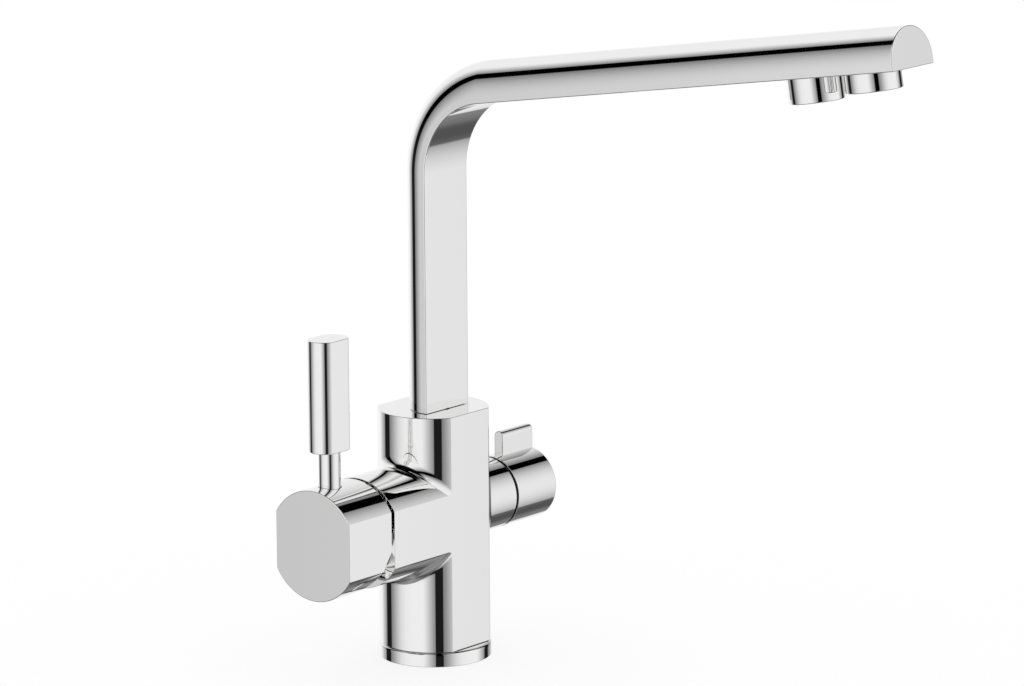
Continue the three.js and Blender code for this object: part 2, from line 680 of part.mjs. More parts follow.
// ---------------------------------------------------------------- mixer cap and lever
const far = 2 * BODY_R;
const relief = box(-far, far, -far, 0, -far, 0, MIXER.clone()
  .multiply(new THREE.Matrix4().makeTranslation(0, -RELIEF_START, capStart))
  .multiply(new THREE.Matrix4().makeRotationX(-rad(RELIEF_ANGLE))));
const cavity = prism(
  doubleD(BODY_R - CAP_WALL, BODY_FLAT - CAP_WALL),
  capStart - 1,
  CAP_FACE - CAP_FRONT,
  MIXER,
);
const boss = rod(CAP_BOSS_R, CAP_BOSS_START, CAP_FACE - CAP_FRONT + 1, MIXER);
const spindleHole = SPINDLE_HALF + SLIP;
const grubR = 2.4;
const leverAt = frame(vec(0, -LEVER_Y, 0), Z);
const capGrubAt = frame(vec(0, -CAP_GRUB, 0), Z);
piece('mixer_cap', cut(
  join(cut(prism(doubleD(BODY_R, BODY_FLAT), capStart, CAP_FACE, MIXER), cavity, relief), boss),
  box(-spindleHole, spindleHole, -spindleHole, spindleHole, CAP_BOSS_START - 1, SPINDLE_END + 0.6, MIXER),
  rod(STEM_R + CLOSE, MIXER_Z + CAP_BOSS_R + 2, MIXER_Z + BODY_R + 1, leverAt),
  rod(STEM_TIP_R + CLOSE, MIXER_Z, MIXER_Z + BODY_R, leverAt, 16),
  rod(grubR + CLOSE, MIXER_Z - CAP_BOSS_R - 1, MIXER_Z, capGrubAt, 16),
  rod(grubR + RUN, MIXER_Z - BODY_R - 1, MIXER_Z - BODY_R + CAP_WALL + 2, capGrubAt, 16),
), CHROME);

const socket = (matrix, depthFrom, depthTo, flats) => prism(hexagon(flats), depthFrom, depthTo, matrix);
const grubTop = MIXER_Z - SPINDLE_HALF - 0.1;
const grubBottom = MIXER_Z - CAP_BOSS_R + 0.3;
piece('cap_grub_screw', cut(
  rod(grubR, grubBottom, grubTop, capGrubAt, 16),
  socket(capGrubAt, grubBottom - 1, grubBottom + 2, 2.5),
), STEEL);

const stemBottom = MIXER_Z + CAP_BOSS_R + 2.4;
piece('lever_stem', turned([
  [0, MIXER_Z + SPINDLE_HALF + 0.1],
  [STEM_TIP_R, MIXER_Z + SPINDLE_HALF + 0.1],
  [STEM_TIP_R, stemBottom],
  [STEM_R, stemBottom],
  [STEM_R, GRIP_BOTTOM],
  [GRIP_SPIGOT_R, GRIP_BOTTOM],
  [GRIP_SPIGOT_R, GRIP_BOTTOM + GRIP_SPIGOT],
  [0, GRIP_BOTTOM + GRIP_SPIGOT],
], leverAt, 20), CHROME);

piece('lever_grip', cut(
  prism(obround(GRIP_R, GRIP_FLAT), GRIP_BOTTOM, GRIP_TOP, leverAt, 8),
  rod(GRIP_SPIGOT_R + CLOSE, GRIP_BOTTOM - 1, GRIP_BOTTOM + GRIP_SPIGOT + 0.5, leverAt),
), CHROME);

// ---------------------------------------------------------------- filter valve
const seatEnd = VALVE_FLOOR + 1.4;
const discFixedEnd = seatEnd + DISC_T;
const discMovingEnd = discFixedEnd + DISC_T;
piece('valve_seat_seal', sleeve(3.2, VALVE_BORE - 1, VALVE_FLOOR, seatEnd, VALVE), RUBBER);

const headTurned = turned([
  [DISC_CHAMBER, seatEnd],
  [VALVE_BORE - SLIP, seatEnd],
  [VALVE_BORE - SLIP, HEX_START + 1],
  [VALVE_NECK_R, HEX_START + 1],
  [VALVE_NECK_R, VALVE_NECK_END],
  [STEM_BORE, VALVE_NECK_END],
  [STEM_BORE, CHAMBER_END],
  [DISC_CHAMBER, CHAMBER_END],
  [DISC_CHAMBER, seatEnd],
], VALVE);
const headHex = cut(
  prism(hexagon(HEX_FLATS), HEX_START, HEX_END, VALVE),
  rod(VALVE_NECK_R - 1, HEX_START - 1, HEX_END + 1, VALVE),
);
piece('valve_headwork', cut(
  join(headTurned, headHex),
  drilled(FILTER_WAY_R, vec(0, VALVE_FEED, VALVE_Z - VALVE_R), vec(0, VALVE_FEED, VALVE_Z + VALVE_R)),
), BRASS);

const discHoleR = 1.9;
const discHoleAt = DISC_CHAMBER / 2;
const discHoles = (from, to) => [-discHoleAt, discHoleAt].map((x) => drilled(
  discHoleR,
  vec(x, from, VALVE_Z),
  vec(x, to, VALVE_Z),
));
piece('valve_disc_fixed', cut(
  rod(DISC_CHAMBER - SLIP, seatEnd, discFixedEnd, VALVE),
  ...discHoles(seatEnd - 1, discFixedEnd + 1),
), CERAMIC);
piece('valve_disc_moving', cut(
  rod(DISC_CHAMBER - SLIP, discFixedEnd, discMovingEnd, VALVE),
  ...discHoles(discFixedEnd - 1, discMovingEnd + 1),
), CERAMIC);

const keyHalf = 1.6;
const keyEnd = DISC_CHAMBER - 1.5;
piece('valve_spindle', cut(
  join(
    box(-keyHalf, keyHalf, -keyEnd, keyEnd, discMovingEnd, SPINDLE_FLANGE + 1, VALVE),
    turned([
      [0, SPINDLE_FLANGE],
      [DISC_CHAMBER - RUN, SPINDLE_FLANGE],
      [DISC_CHAMBER - RUN, CHAMBER_END - SLIP],
      [SPINDLE_R, CHAMBER_END - SLIP],
      [SPINDLE_R, SPINDLE_GROOVE],
      [SPINDLE_R - 1, SPINDLE_GROOVE],
      [SPINDLE_R - 1, SPINDLE_GROOVE + 2],
      [SPINDLE_R, SPINDLE_GROOVE + 2],
      [SPINDLE_R, VALVE_NECK_END + 1],
      [SPINDLE_TIP_R, VALVE_NECK_END + 1],
      [SPINDLE_TIP_R, KNOB_END - KNOB_CAP - 5],
      [0, KNOB_END - KNOB_CAP - 5],
    ], VALVE, 16),
  ),
), BRASS);
piece('valve_spindle_seal', sleeve(
  SPINDLE_R - 0.9,
  STEM_BORE - CLOSE,
  SPINDLE_GROOVE + 0.2,
  SPINDLE_GROOVE + 1.8,
  VALVE,
  24,
), RUBBER);

const glideR = COUNTERBORE - SLIP;
const glideEnd = KNOB_START + GLIDE_LAP;
piece('valve_glide_ring', sleeve(glideR - 1.8, glideR, HEX_END + SLIP, glideEnd, VALVE, 24), BLACK_PLASTIC);

const knobShell = turned([
  [VALVE_R - KNOB_WALL, KNOB_START],
  [VALVE_R, KNOB_START],
  [VALVE_R, KNOB_END - KNOB_EDGE],
  [VALVE_R - KNOB_EDGE, KNOB_END],
  [0, KNOB_END],
  [0, KNOB_END - KNOB_CAP],
  [VALVE_R - KNOB_WALL, KNOB_END - KNOB_CAP],
  [VALVE_R - KNOB_WALL, KNOB_START],
], VALVE, 40);
const knobBoss = rod(KNOB_BOSS_R, KNOB_BOSS_START, KNOB_END - 1, VALVE);

// paddle: plate with a half-round top edge and a rounded outer top corner
const plate = new THREE.Shape();
plate.moveTo(PADDLE_START, 0);
plate.lineTo(PADDLE_END, 0);
plate.lineTo(PADDLE_END, PADDLE_TOP - PADDLE_CORNER);
plate.absarc(PADDLE_END - PADDLE_CORNER, PADDLE_TOP - PADDLE_CORNER, PADDLE_CORNER, 0, Math.PI / 2, false);
plate.lineTo(PADDLE_START, PADDLE_TOP);
plate.closePath();
const paddleHalf = PADDLE_T / 2;
const plateFrame = new THREE.Matrix4().makeBasis(Y, Z, X).setPosition(-paddleHalf, 0, VALVE_Z);
const bullnose = new THREE.Shape();
bullnose.moveTo(paddleHalf, 0);
bullnose.lineTo(paddleHalf, PADDLE_TOP - paddleHalf);
bullnose.absarc(0, PADDLE_TOP - paddleHalf, paddleHalf, 0, Math.PI, false);
bullnose.lineTo(-paddleHalf, 0);
bullnose.closePath();
const paddle = prism(plate, 0, PADDLE_T, plateFrame, 3)
  .intersect(prism(bullnose, PADDLE_START - 1, PADDLE_END + 1, VALVE, 6));
const paddleAbove = cut(paddle, rod(VALVE_R - 1.2, PADDLE_START - 2, PADDLE_END + 2, VALVE, 40));
const knobGrub = frame(vec(0, KNOB_GRUB, VALVE_Z), Z.clone().negate());
piece('filter_knob', cut(
  join(knobShell, knobBoss, paddleAbove),
  rod(SPINDLE_TIP_R + CLOSE, KNOB_BOSS_START - 1, KNOB_END - KNOB_CAP - 4.5, VALVE, 16),
  rod(grubR + CLOSE, 0, KNOB_BOSS_R + 1, knobGrub, 16),
  rod(grubR + 0.6, KNOB_BOSS_R + 4, VALVE_R + 1, knobGrub, 20),
), CHROME);
piece('knob_grub_screw', cut(
  rod(grubR, SPINDLE_TIP_R + 0.1, KNOB_BOSS_R - 0.4, knobGrub, 16),
  socket(knobGrub, KNOB_BOSS_R - 2.2, KNOB_BOSS_R + 1, 2.5),
), STEEL);

// ---------------------------------------------------------------- spout
const riserRun = BEND_CENTRE_Z - spoutFoot;
const bend = { bend: bendRadius, angle: bendAngle, steps: bendSteps };
const outerLine = new TapLine(vec(0, 0, spoutFoot), [{ run: riserRun }, bend, { run: ARM_LENGTH }]);
const innerLine = new TapLine(vec(0, 0, spoutFoot - 1), [
  { run: riserRun + 1 },
  bend,
  { run: ARM_LENGTH - ARM_END_WALL },
]);
const flatDepth = SPOUT_FLAT - SPOUT_WALL;
const outletHole = (fromTip) => rod(
  OUTLET_NECK + SLIP,
  flatDepth - 1,
  SPOUT_FLAT + 1,
  outletFrame(fromTip),
  32,
);
piece('spout', cut(
  swept(spoutD(), outerLine, 10),
  swept(spoutD(SPOUT_WALL), innerLine, 5),
  outletHole(MIXED_FROM_TIP),
  outletHole(FILTERED_FROM_TIP),
), CHROME);

const grooves = ringZ.flatMap((z) => [
  [SHANK_R, z - GROOVE_HALF],
  [SHANK_R - 2 * RING_SECTION + 0.7, z - GROOVE_HALF],
  [SHANK_R - 2 * RING_SECTION + 0.7, z + GROOVE_HALF],
  [SHANK_R, z + GROOVE_HALF],
]);
const shank = turned([
  [SHANK_BORE, shankFoot],
  [SHANK_R, shankFoot],
  ...grooves,
  [SHANK_R, stopZ - 1.5],
  [STOP_GROOVE_R, stopZ - 1.5],
  [STOP_GROOVE_R, stopZ + 1.5],
  [SHANK_R, stopZ + 1.5],
  [SHANK_R, spoutFoot],
  [SHANK_BORE, spoutFoot],
  [SHANK_BORE, shankFoot],
], UP, 14);
const plug = cut(
  prism(spoutD(SPOUT_WALL + SLIP), spoutFoot, spoutFoot + PLUG_H, UP, 6),
  rod(SHANK_BORE, spoutFoot - 1, spoutFoot + PLUG_H + 1, UP),
);
piece('spout_spigot', join(shank, plug), BRASS);

const cordCentre = SWIVEL_BORE - CLOSE - RING_SECTION;
ringZ.forEach((z, k) => {
  const cord = new THREE.TorusGeometry(cordCentre, RING_SECTION, 6, 16).translate(0, 0, z);
  piece(['lower_o_ring', 'upper_o_ring'][k], solid(cord), RUBBER);
});

const bushBore = SHANK_R + CLOSE;
const bushR = SWIVEL_BORE - CLOSE;
const lowerBushStart = shankFoot + SLIP;
const lowerBushEnd = lowerBushStart + BUSH_LENGTH;
piece('swivel_bush', sleeve(bushBore, bushR, BODY_TOP - BUSH_LENGTH, spoutFoot, UP, 20), BLACK_PLASTIC);
piece('lower_bush', sleeve(bushBore, bushR, lowerBushStart, lowerBushEnd, UP, 20), BLACK_PLASTIC);

const stopTip = 1.1;
const stopFrame = frame(vec(-BODY_FLAT + 3, 0, stopZ), X, Y);
const stopLength = BODY_FLAT - 3 - STOP_GROOVE_R - SLIP;
piece('spout_stop_screw', cut(
  turned([
    [0, 0],
    [STOP_SCREW_R, 0],
    [STOP_SCREW_R, stopLength - 3.2],
    [stopTip, stopLength - 3.2],
    [stopTip, stopLength],
    [0, stopLength],
  ], stopFrame, 20),
  socket(stopFrame, -1, 2.4, 2.5),
), STEEL);

const tubeLine = new TapLine(vec(0, 0, TUBE_BOTTOM), [
  { run: BEND_CENTRE_Z - TUBE_BOTTOM },
  bend,
  { run: ARM_LENGTH - FILTERED_FROM_TIP - TUBE_TURN },
  { bend: TUBE_TURN, angle: Math.PI / 2, steps: 5 },
  { run: SPOUT_FLAT - TUBE_TURN - 0.6 },
]);
const tubeSection = disc(TUBE_R);
tubeSection.holes.push(new THREE.Path().absarc(0, 0, TUBE_BORE, 0, 2 * Math.PI, true));
piece('filtered_water_tube', swept(tubeSection, tubeLine, 3), WHITE_PLASTIC);

// ---------------------------------------------------------------- outlets
function outlet(name, fromTip, drop) {
  const at = outletFrame(fromTip);
  const end = SPOUT_FLAT + drop;
  const shoulder = SPOUT_FLAT + OUTLET_SHOULDER;
  const insertStart = shoulder + WASHER_T;
  const insertEnd = end - INSERT_BACK;
  piece(`${name}_outlet_sleeve`, turned([
    [OUTLET_THROAT, flatDepth + SLIP],
    [OUTLET_NECK, flatDepth + SLIP],
    [OUTLET_NECK, SPOUT_FLAT],
    [OUTLET_R, SPOUT_FLAT],
    [OUTLET_R, end],
    [OUTLET_BORE, end],
    [OUTLET_BORE, shoulder],
    [OUTLET_THROAT, shoulder],
    [OUTLET_THROAT, flatDepth + SLIP],
  ], at, 24), CHROME);
  piece(`${name}_outlet_washer`, sleeve(
    OUTLET_THROAT + 0.6,
    OUTLET_BORE - CLOSE,
    shoulder,
    insertStart,
    at,
    20,
  ), RUBBER);
  const cells = [];
  for (let row = -1; row <= 1; row += 1) {
    for (let col = -1; col <= 1; col += 1) {
      if (Math.abs(row + col) > 1) continue;
      const x = INSERT_CELL * (col + row / 2);
      const y = INSERT_CELL * row * (Math.sqrt(3) / 2);
      const spot = at.clone().multiply(new THREE.Matrix4().makeTranslation(x, y, 0));
      cells.push(prism(hexagon(2 * INSERT_HOLE), insertStart - 1, insertEnd + 1, spot));
    }
  }
  piece(`${name}_outlet_insert`, cut(
    rod(OUTLET_BORE - CLOSE, insertStart, insertEnd, at),
    ...cells,
  ), name === 'mixed' ? WHITE_PLASTIC : GREY_PLASTIC);
}
outlet('mixed', MIXED_FROM_TIP, MIXED_DROP);
outlet('filtered', FILTERED_FROM_TIP, FILTERED_DROP);
piece('filtered_tube_seal', sleeve(
  TUBE_R + SLIP,
  OUTLET_THROAT - SLIP,
  flatDepth + 0.4,
  SPOUT_FLAT,
  outletFrame(FILTERED_FROM_TIP),
  24,
), RUBBER);

export default tap;
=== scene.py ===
import json
import math

import bpy
from mathutils import Matrix, Vector
from mathutils.bvhtree import BVHTree
from mathutils.interpolate import poly_3d_calc


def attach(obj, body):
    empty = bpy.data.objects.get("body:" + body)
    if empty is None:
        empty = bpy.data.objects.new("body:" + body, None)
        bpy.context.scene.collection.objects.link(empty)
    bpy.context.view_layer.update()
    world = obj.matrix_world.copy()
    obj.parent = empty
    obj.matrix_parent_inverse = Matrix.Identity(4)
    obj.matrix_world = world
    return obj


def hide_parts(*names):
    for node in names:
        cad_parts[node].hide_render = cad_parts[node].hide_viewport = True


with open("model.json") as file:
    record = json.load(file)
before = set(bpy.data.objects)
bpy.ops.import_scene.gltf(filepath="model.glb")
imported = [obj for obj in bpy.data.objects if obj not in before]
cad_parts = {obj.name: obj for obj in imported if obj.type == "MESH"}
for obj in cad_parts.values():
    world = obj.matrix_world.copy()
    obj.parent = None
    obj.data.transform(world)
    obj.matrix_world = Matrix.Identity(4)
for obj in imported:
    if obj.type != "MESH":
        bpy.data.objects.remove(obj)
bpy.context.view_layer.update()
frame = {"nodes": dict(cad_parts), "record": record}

MM = 0.001                      # one millimetre in metres. All sizes below are in millimetres.

# ---------------------------------------------------------------- sizes: base ring, spacer and column
BODY_R = 25.0                   # the column is round, with a flat on either side
BODY_FLAT = 21.4                # from its axis to each flat
BODY_BOTTOM = 6.6
BODY_TOP = 114.2
RING_R = 25.45
RING_TOP = 6.4
RING_SEAT = 5.2                 # floor of the pocket for the spacer
RING_POCKET = 0.5               # that pocket's inset from the column's outline
RING_BORE = 17.0
RING_SPIGOT_R = 19.3            # upstand that centres the column
RING_SPIGOT_TOP = 11.8
RING_FOOT_EDGE = 0.25
RING_EDGE = 1.4                 # rounding of the upper edge
SEAL_IN = 18.7                  # groove for the worktop seal
SEAL_OUT = 22.9
SEAL_DEPTH = 1.5
SPACER_INSET = 0.8              # from the column's outline
RECESS_R = 19.6                 # hollow under the column, over the upstand
RECESS_TOP = 12.6
COVE_R = 5.0                    # between the column and the mixer housing
VALVE_COVE_R = 4.5              # between the column and the valve collar
COVE_SPREAD = 1.2               # how far the first goes on past the flats

# ---------------------------------------------------------------- sizes: water ways in the column
STUD_R = 3.4                    # bore for the clamping stud
STUD_DEPTH = 18.0
PORT_CIRCLE = 10.2              # the three inlets' distance from the axis
HOT, COLD, FILTERED = 210, 330, 90      # degrees round the axis
PORT_R = 4.9                    # bore for an inlet adaptor
PORT_DEPTH = 12.0
MIXER_WAY_R = 2.0               # hot, cold and mixed water
MIXER_WAY_TOP = 63.0            # hot and cold rise to here
MIXER_WAY_Z = 61.0              # and go on level to the cartridge
MIXER_WAY_X = 8.83
MIXER_WAY_Y = -17.0
MIXED_WAY_Z = 74.0              # mixed water comes back here
MIXED_WAY_Y = -6.3              # and rises to the spout
FILTERED_WAY_R = 2.4
FILTERED_WAY_TOP = 46.0         # filtered water rises to here
FILTERED_WAY_Z = 43.6           # goes on level
FILTERED_WAY_Y = 20.0           # and rises again to the valve
WAY_OVERLAP = 0.3               # the rising way starts this far under the level one
TUBE_SOCKET_R = 3.1             # where the filtered water tube starts

# ---------------------------------------------------------------- sizes: mixer, along -Y from the axis
MIXER_Z = 66.0
HOUSING_START = 4.0
HOUSING_END = 52.0
CARTRIDGE_BORE = 17.8
CARTRIDGE_FLOOR = 16.0
NUT_END = 51.4
NUT_BORE = 12.0
NECK_R = 17.5                   # where it stands in the housing
PIVOT = 44.0                    # centre of the ball neck, where the lever rocks
NECK_BALL = 21.2
NECK_END = 60.0
NECK_ROWS = 24                  # facets along the ball
CAP_START = 54.0
CAP_FACE = 82.5
CAP_WALL = 1.4
CAP_FRONT = 5.0
CAP_BOSS_R = 8.0
CAP_BOSS_START = 66.0
CAP_GRUB = 72.0
CAP_GRUB_ACCESS = 2.8
CAP_GRUB_ACCESS_END = 44.4      # height, in the cap's hollow
CAP_CORNER = 0.3                # inside, at the front
RELIEF_START = 4.3              # the cap's slope starts this far under the axis
RELIEF_ANGLE = 34.0
SPINDLE_HOLE = 3.8              # half of the square hole's width
SPINDLE_END = 74.6

# ---------------------------------------------------------------- sizes: lever, heights
LEVER_Y = 70.6
STEM_R = 4.95
STEM_HOLE = 0.3                 # room round the stem in the cap
STEM_HOLE_START = 76.0          # in the cap's hollow
STEM_TIP_R = 3.4
STEM_TIP = 69.6
STEM_BOTTOM = 76.4
GRIP_R = 7.55
GRIP_FLAT = 6.85
GRIP_APART = 2.4                # each half of the grip stands this far out
GRIP_BOTTOM = 107.2
GRIP_TOP = 157.4
GRIP_SPIGOT_R = 3.6
GRIP_SPIGOT = 14.0
GRIP_SPIGOT_ROOM = 0.5          # past the end of the spigot

# ---------------------------------------------------------------- sizes: filter valve, along +Y from the axis
VALVE_Z = 67.0
VALVE_R = 16.4
COLLAR_START = 4.0
COLLAR_END = 38.8
VALVE_BORE = 10.2
VALVE_FLOOR = 14.0
COUNTERBORE = 13.9
COUNTERBORE_START = 31.7
GLIDE_R = 13.6
GLIDE_WALL = 1.8
GLIDE_START = 36.3
GLIDE_END = 44.4
KNOB_START = 40.4
KNOB_END = 67.2
KNOB_WALL = 2.4
KNOB_CAP = 5.4                  # thickness of the end wall
KNOB_EDGE = 0.5
KNOB_BOSS_R = 7.4
KNOB_BOSS_START = 47.0
KNOB_BORE = 3.95
KNOB_BORE_STOP = 4.5            # the bore ends this far short of the end wall
KNOB_GRUB = 53.0
KNOB_GRUB_ACCESS = 3.0
KNOB_GRUB_ACCESS_START = 11.4   # from the valve's axis, in the knob's hollow
PADDLE_HALF = 2.55              # half of its thickness
PADDLE_START = 45.7
PADDLE_END = 67.2
PADDLE_TOP = 27.2               # above the valve's axis
PADDLE_ROOT = 10.0              # in the knob's hollow, which cuts it off
PADDLE_CORNER = 1.8
PADDLE_EDGE = 0.5

# ---------------------------------------------------------------- sizes: spout
SPOUT_HALF = 14.65              # half of the D's width
SPOUT_FLAT = 8.5                # from the swivel axis to the flat
SPOUT_STRAIGHT = 3.0            # straight part next to the flat
SPOUT_CORNER = 0.55
SPOUT_WALL = 2.2
SPOUT_FOOT = 114.35
BEND_CENTRE_Z = 222.1
BEND_RADIUS = 44.4
ARM_TILT = 9.46
ARM_LENGTH = 226.2
ARM_END_WALL = 3.0
SWIVEL_BORE = 8.8
SWIVEL_FLOOR = 88.0
STOP_Z = 107.0
STOP_R = 2.7

# ---------------------------------------------------------------- sizes: outlets
OUTLETS = {"mixed": (51.7, 11.0, 11.9), "filtered": (21.4, 8.2, 12.3)}    # from the tip, drop, radius
OUTLET_NECK = 7.8
OUTLET_NECK_ROOM = 0.3          # round the neck in the spout's hole
OUTLET_NECK_IN = 0.3            # how far the neck stops short of the spout's inner face
OUTLET_THROAT = 6.6
OUTLET_WALL = 1.7
OUTLET_SHOULDER = 1.6
OUTLET_EDGES = (0.1, 0.1, 0.1, 0.12, 0.45, 0.3, 0.1, 0.1)    # rounding of the sleeve's corners
INSERT_EDGE = 0.3
WASHER = 1.0
INSERT_BACK = 0.6               # the insert's face lies this far inside
CELL_PITCH = 2.0                # between the middles of the honeycomb's cells
CELL_FLATS = 1.5
CELL_RIM = 1.9                  # no cell's middle is nearer to the sleeve's bore

# ---------------------------------------------------------------- sizes: shared
GRUB_R = 2.55
SLIP = 0.15                     # room between a hole and what fits in it
EDGE = 0.45                     # rounding of the outer edges
SEAM = 0.2                      # rounding of edges that face each other across a gap
FINE = 0.1                      # rounding of small inner edges
TINY = 0.05                     # rounding of edges that hardly show
CRISP = 0.02                    # rounding of hidden edges
PAST = 1                        # how far a cut goes on past the face that it opens
CORNER_STEPS = 4
ROUND, FINE_ROUND = 160, 128    # segments of the large round bodies, and of the smaller ones
RIGHT_ANGLE = math.pi / 2
FULL_TURN = 2 * math.pi

X, Y, Z = Vector((1, 0, 0)), Vector((0, 1, 0)), Vector((0, 0, 1))


# ---------------------------------------------------------------- outlines with true normals
def fillet(points, radius, closed=True, steps=5):
    """Polyline with rounded corners as (x, y, nx, ny), the outward normal on its right-hand side."""
    straight, most = 1e-4, 0.45     # angle of no corner, share of a side that a corner may take
    count = len(points)
    radii = radius if isinstance(radius, (list, tuple)) else [radius] * count
    out = []
    for i, (p, r) in enumerate(zip(points, radii)):
        p = Vector(p)
        if not closed and i in (0, count - 1):
            q = Vector(points[1]) - p if i == 0 else p - Vector(points[-2])
            q.normalize()
            out.append((p.x, p.y, q.y, -q.x))
            continue
        a, b = p - Vector(points[i - 1]), Vector(points[(i + 1) % count]) - p
        la, lb = a.length, b.length
        a.normalize()
        b.normalize()
        turn = math.atan2(a.x * b.y - a.y * b.x, a.dot(b))
        if abs(turn) < straight:
            out.append((p.x, p.y, a.y, -a.x))
            continue
        trim = min(r * math.tan(abs(turn) / 2), most * min(la, lb))
        r = trim / math.tan(abs(turn) / 2)
        side = 1 if turn > 0 else -1
        centre = p - a * trim + Vector((-a.y, a.x)) * (side * r)
        start = math.atan2(-a.x, a.y)
        for k in range(steps + 1):
            w = start + turn * k / steps
            n = Vector((math.cos(w), math.sin(w)))
            q = centre + n * (side * r)
            out.append((q.x, q.y, n.x, n.y))
    return out


def arc(cx, cy, r, a0, a1, steps, first=True):
    """Points of an arc as (x, y, nx, ny). first=False leaves out the one at a0."""
    out = []
    for k in range(0 if first else 1, steps + 1):
        w = a0 + (a1 - a0) * k / steps
        out.append((cx + r * math.cos(w), cy + r * math.sin(w), math.cos(w), math.sin(w)))
    return out


def double_d(radius, flat, inset=0.0, corner=0.35, steps=48, apart=0.0):
    """Round of the given radius with flats at x = +flat and x = -flat, its halves moved apart along y."""
    yc = math.sqrt((radius - corner) ** 2 - (flat - corner) ** 2)
    xc = flat - corner
    small = max(corner - inset, CRISP)
    a = math.atan2(yc, xc)
    big = radius - inset
    out = arc(xc, yc, small, 0, a, CORNER_STEPS)
    out += arc(0, 0, big, a, math.pi - a, steps, first=False)
    out += arc(-xc, yc, small, math.pi - a, math.pi, CORNER_STEPS, first=False)
    out += arc(-xc, -yc, small, math.pi, math.pi + a, CORNER_STEPS)
    out += arc(0, 0, big, math.pi + a, FULL_TURN - a, steps, first=False)
    out += arc(xc, -yc, small, FULL_TURN - a, FULL_TURN, CORNER_STEPS, first=False)
    half = len(out) // 2
    return [(x, y + (apart if i < half else -apart), nx, ny) for i, (x, y, nx, ny) in enumerate(out)]


def spout_d(inset, corner, steps=48):
    """D of the spout: flat towards +x, half round towards -x."""
    h, f = SPOUT_HALF, SPOUT_FLAT
    small = max(corner - inset, CRISP)
    out = arc(f - corner, h - corner, small, 0, RIGHT_ANGLE, CORNER_STEPS)
    out += arc(f - SPOUT_STRAIGHT, 0, h - inset, RIGHT_ANGLE, 1.5 * math.pi, steps)
    out += arc(f - corner, corner - h, small, 1.5 * math.pi, FULL_TURN, CORNER_STEPS)
    return out


# ---------------------------------------------------------------- closed surfaces
class Shell:
    """Closed surface in millimetres, with the true normal at each point."""

    def __init__(self, points, normals, faces):
        self.points, self.normals, self.faces = points, normals, faces

    def moved(self, matrix):
        turn = matrix.to_3x3()
        points = [matrix @ p for p in self.points]
        normals = [(turn @ n).normalized() for n in self.normals]
        return Shell(points, normals, self.faces)


def loft(rings):
    """Joins rings of equal count, each a list of (point, normal), and closes both ends."""
    n = len(rings[0])
    points = [p for ring in rings for p, _ in ring]
    normals = [m for ring in rings for _, m in ring]
    faces = []
    for k in range(len(rings) - 1):
        for i in range(n):
            j = (i + 1) % n
            faces.append((k * n + i, k * n + j, (k + 1) * n + j, (k + 1) * n + i))
    faces.append(tuple(reversed(range(n))))
    faces.append(tuple(range((len(rings) - 1) * n, len(rings) * n)))
    return Shell(points, normals, faces)


def prism(outline, start, end, edge_start=EDGE, edge_end=EDGE, steps=CORNER_STEPS):
    """Straight body between two heights. outline(inset) gives its section; both ends have rounded edges."""
    rings = []
    for k in range(steps + 1):
        w = RIGHT_ANGLE * (1 - k / steps)
        d, z = edge_start * (1 - math.cos(w)), start + edge_start * (1 - math.sin(w))
        rings.append([(Vector((x, y, z)), Vector((a * math.cos(w), b * math.cos(w), -math.sin(w))))
                      for x, y, a, b in outline(d)])
    for k in range(steps + 1):
        w = RIGHT_ANGLE * k / steps
        d, z = edge_end * (1 - math.cos(w)), end - edge_end * (1 - math.sin(w))
        rings.append([(Vector((x, y, z)), Vector((a * math.cos(w), b * math.cos(w), math.sin(w))))
                      for x, y, a, b in outline(d)])
    return loft(rings)


def turned(profile, radius=FINE, segments=FINE_ROUND, closed=False, steps=CORNER_STEPS):
    """Round body from a profile of (radius, height) points. An open profile starts and ends on the axis."""
    path = fillet(profile, radius, closed, steps)
    if not closed:
        path = path[1:-1]
    n, points, normals, faces = len(path), [], [], []
    for k in range(segments):
        w = FULL_TURN * k / segments
        c, s = math.cos(w), math.sin(w)
        for r, z, nr, nz in path:
            points.append(Vector((r * c, r * s, z)))
            normals.append(Vector((nr * c, nr * s, nz)))
    for k in range(segments):
        a, b = k * n, ((k + 1) % segments) * n
        for i in range(n if closed else n - 1):
            j = (i + 1) % n
            faces.append((a + i, b + i, b + j, a + j))
    if not closed:
        faces.append(tuple(k * n for k in reversed(range(segments))))
        faces.append(tuple(k * n + n - 1 for k in range(segments)))
    return Shell(points, normals, faces)


def rod(radius, start, end, edge=CRISP, segments=96):
    """Round bar or hole between two heights."""
    return turned([(0, start), (radius, start), (radius, end), (0, end)], edge, segments, steps=2)


def polygon(points, start, end, corner=CRISP, edge=CRISP):
    """Straight body over a polygon with slightly rounded corners."""
    def outline(inset):
        path = fillet(points, corner, steps=2)
        return [(x - a * inset, y - b * inset, a, b) for x, y, a, b in path]

    return prism(outline, start, end, edge, edge, steps=2)


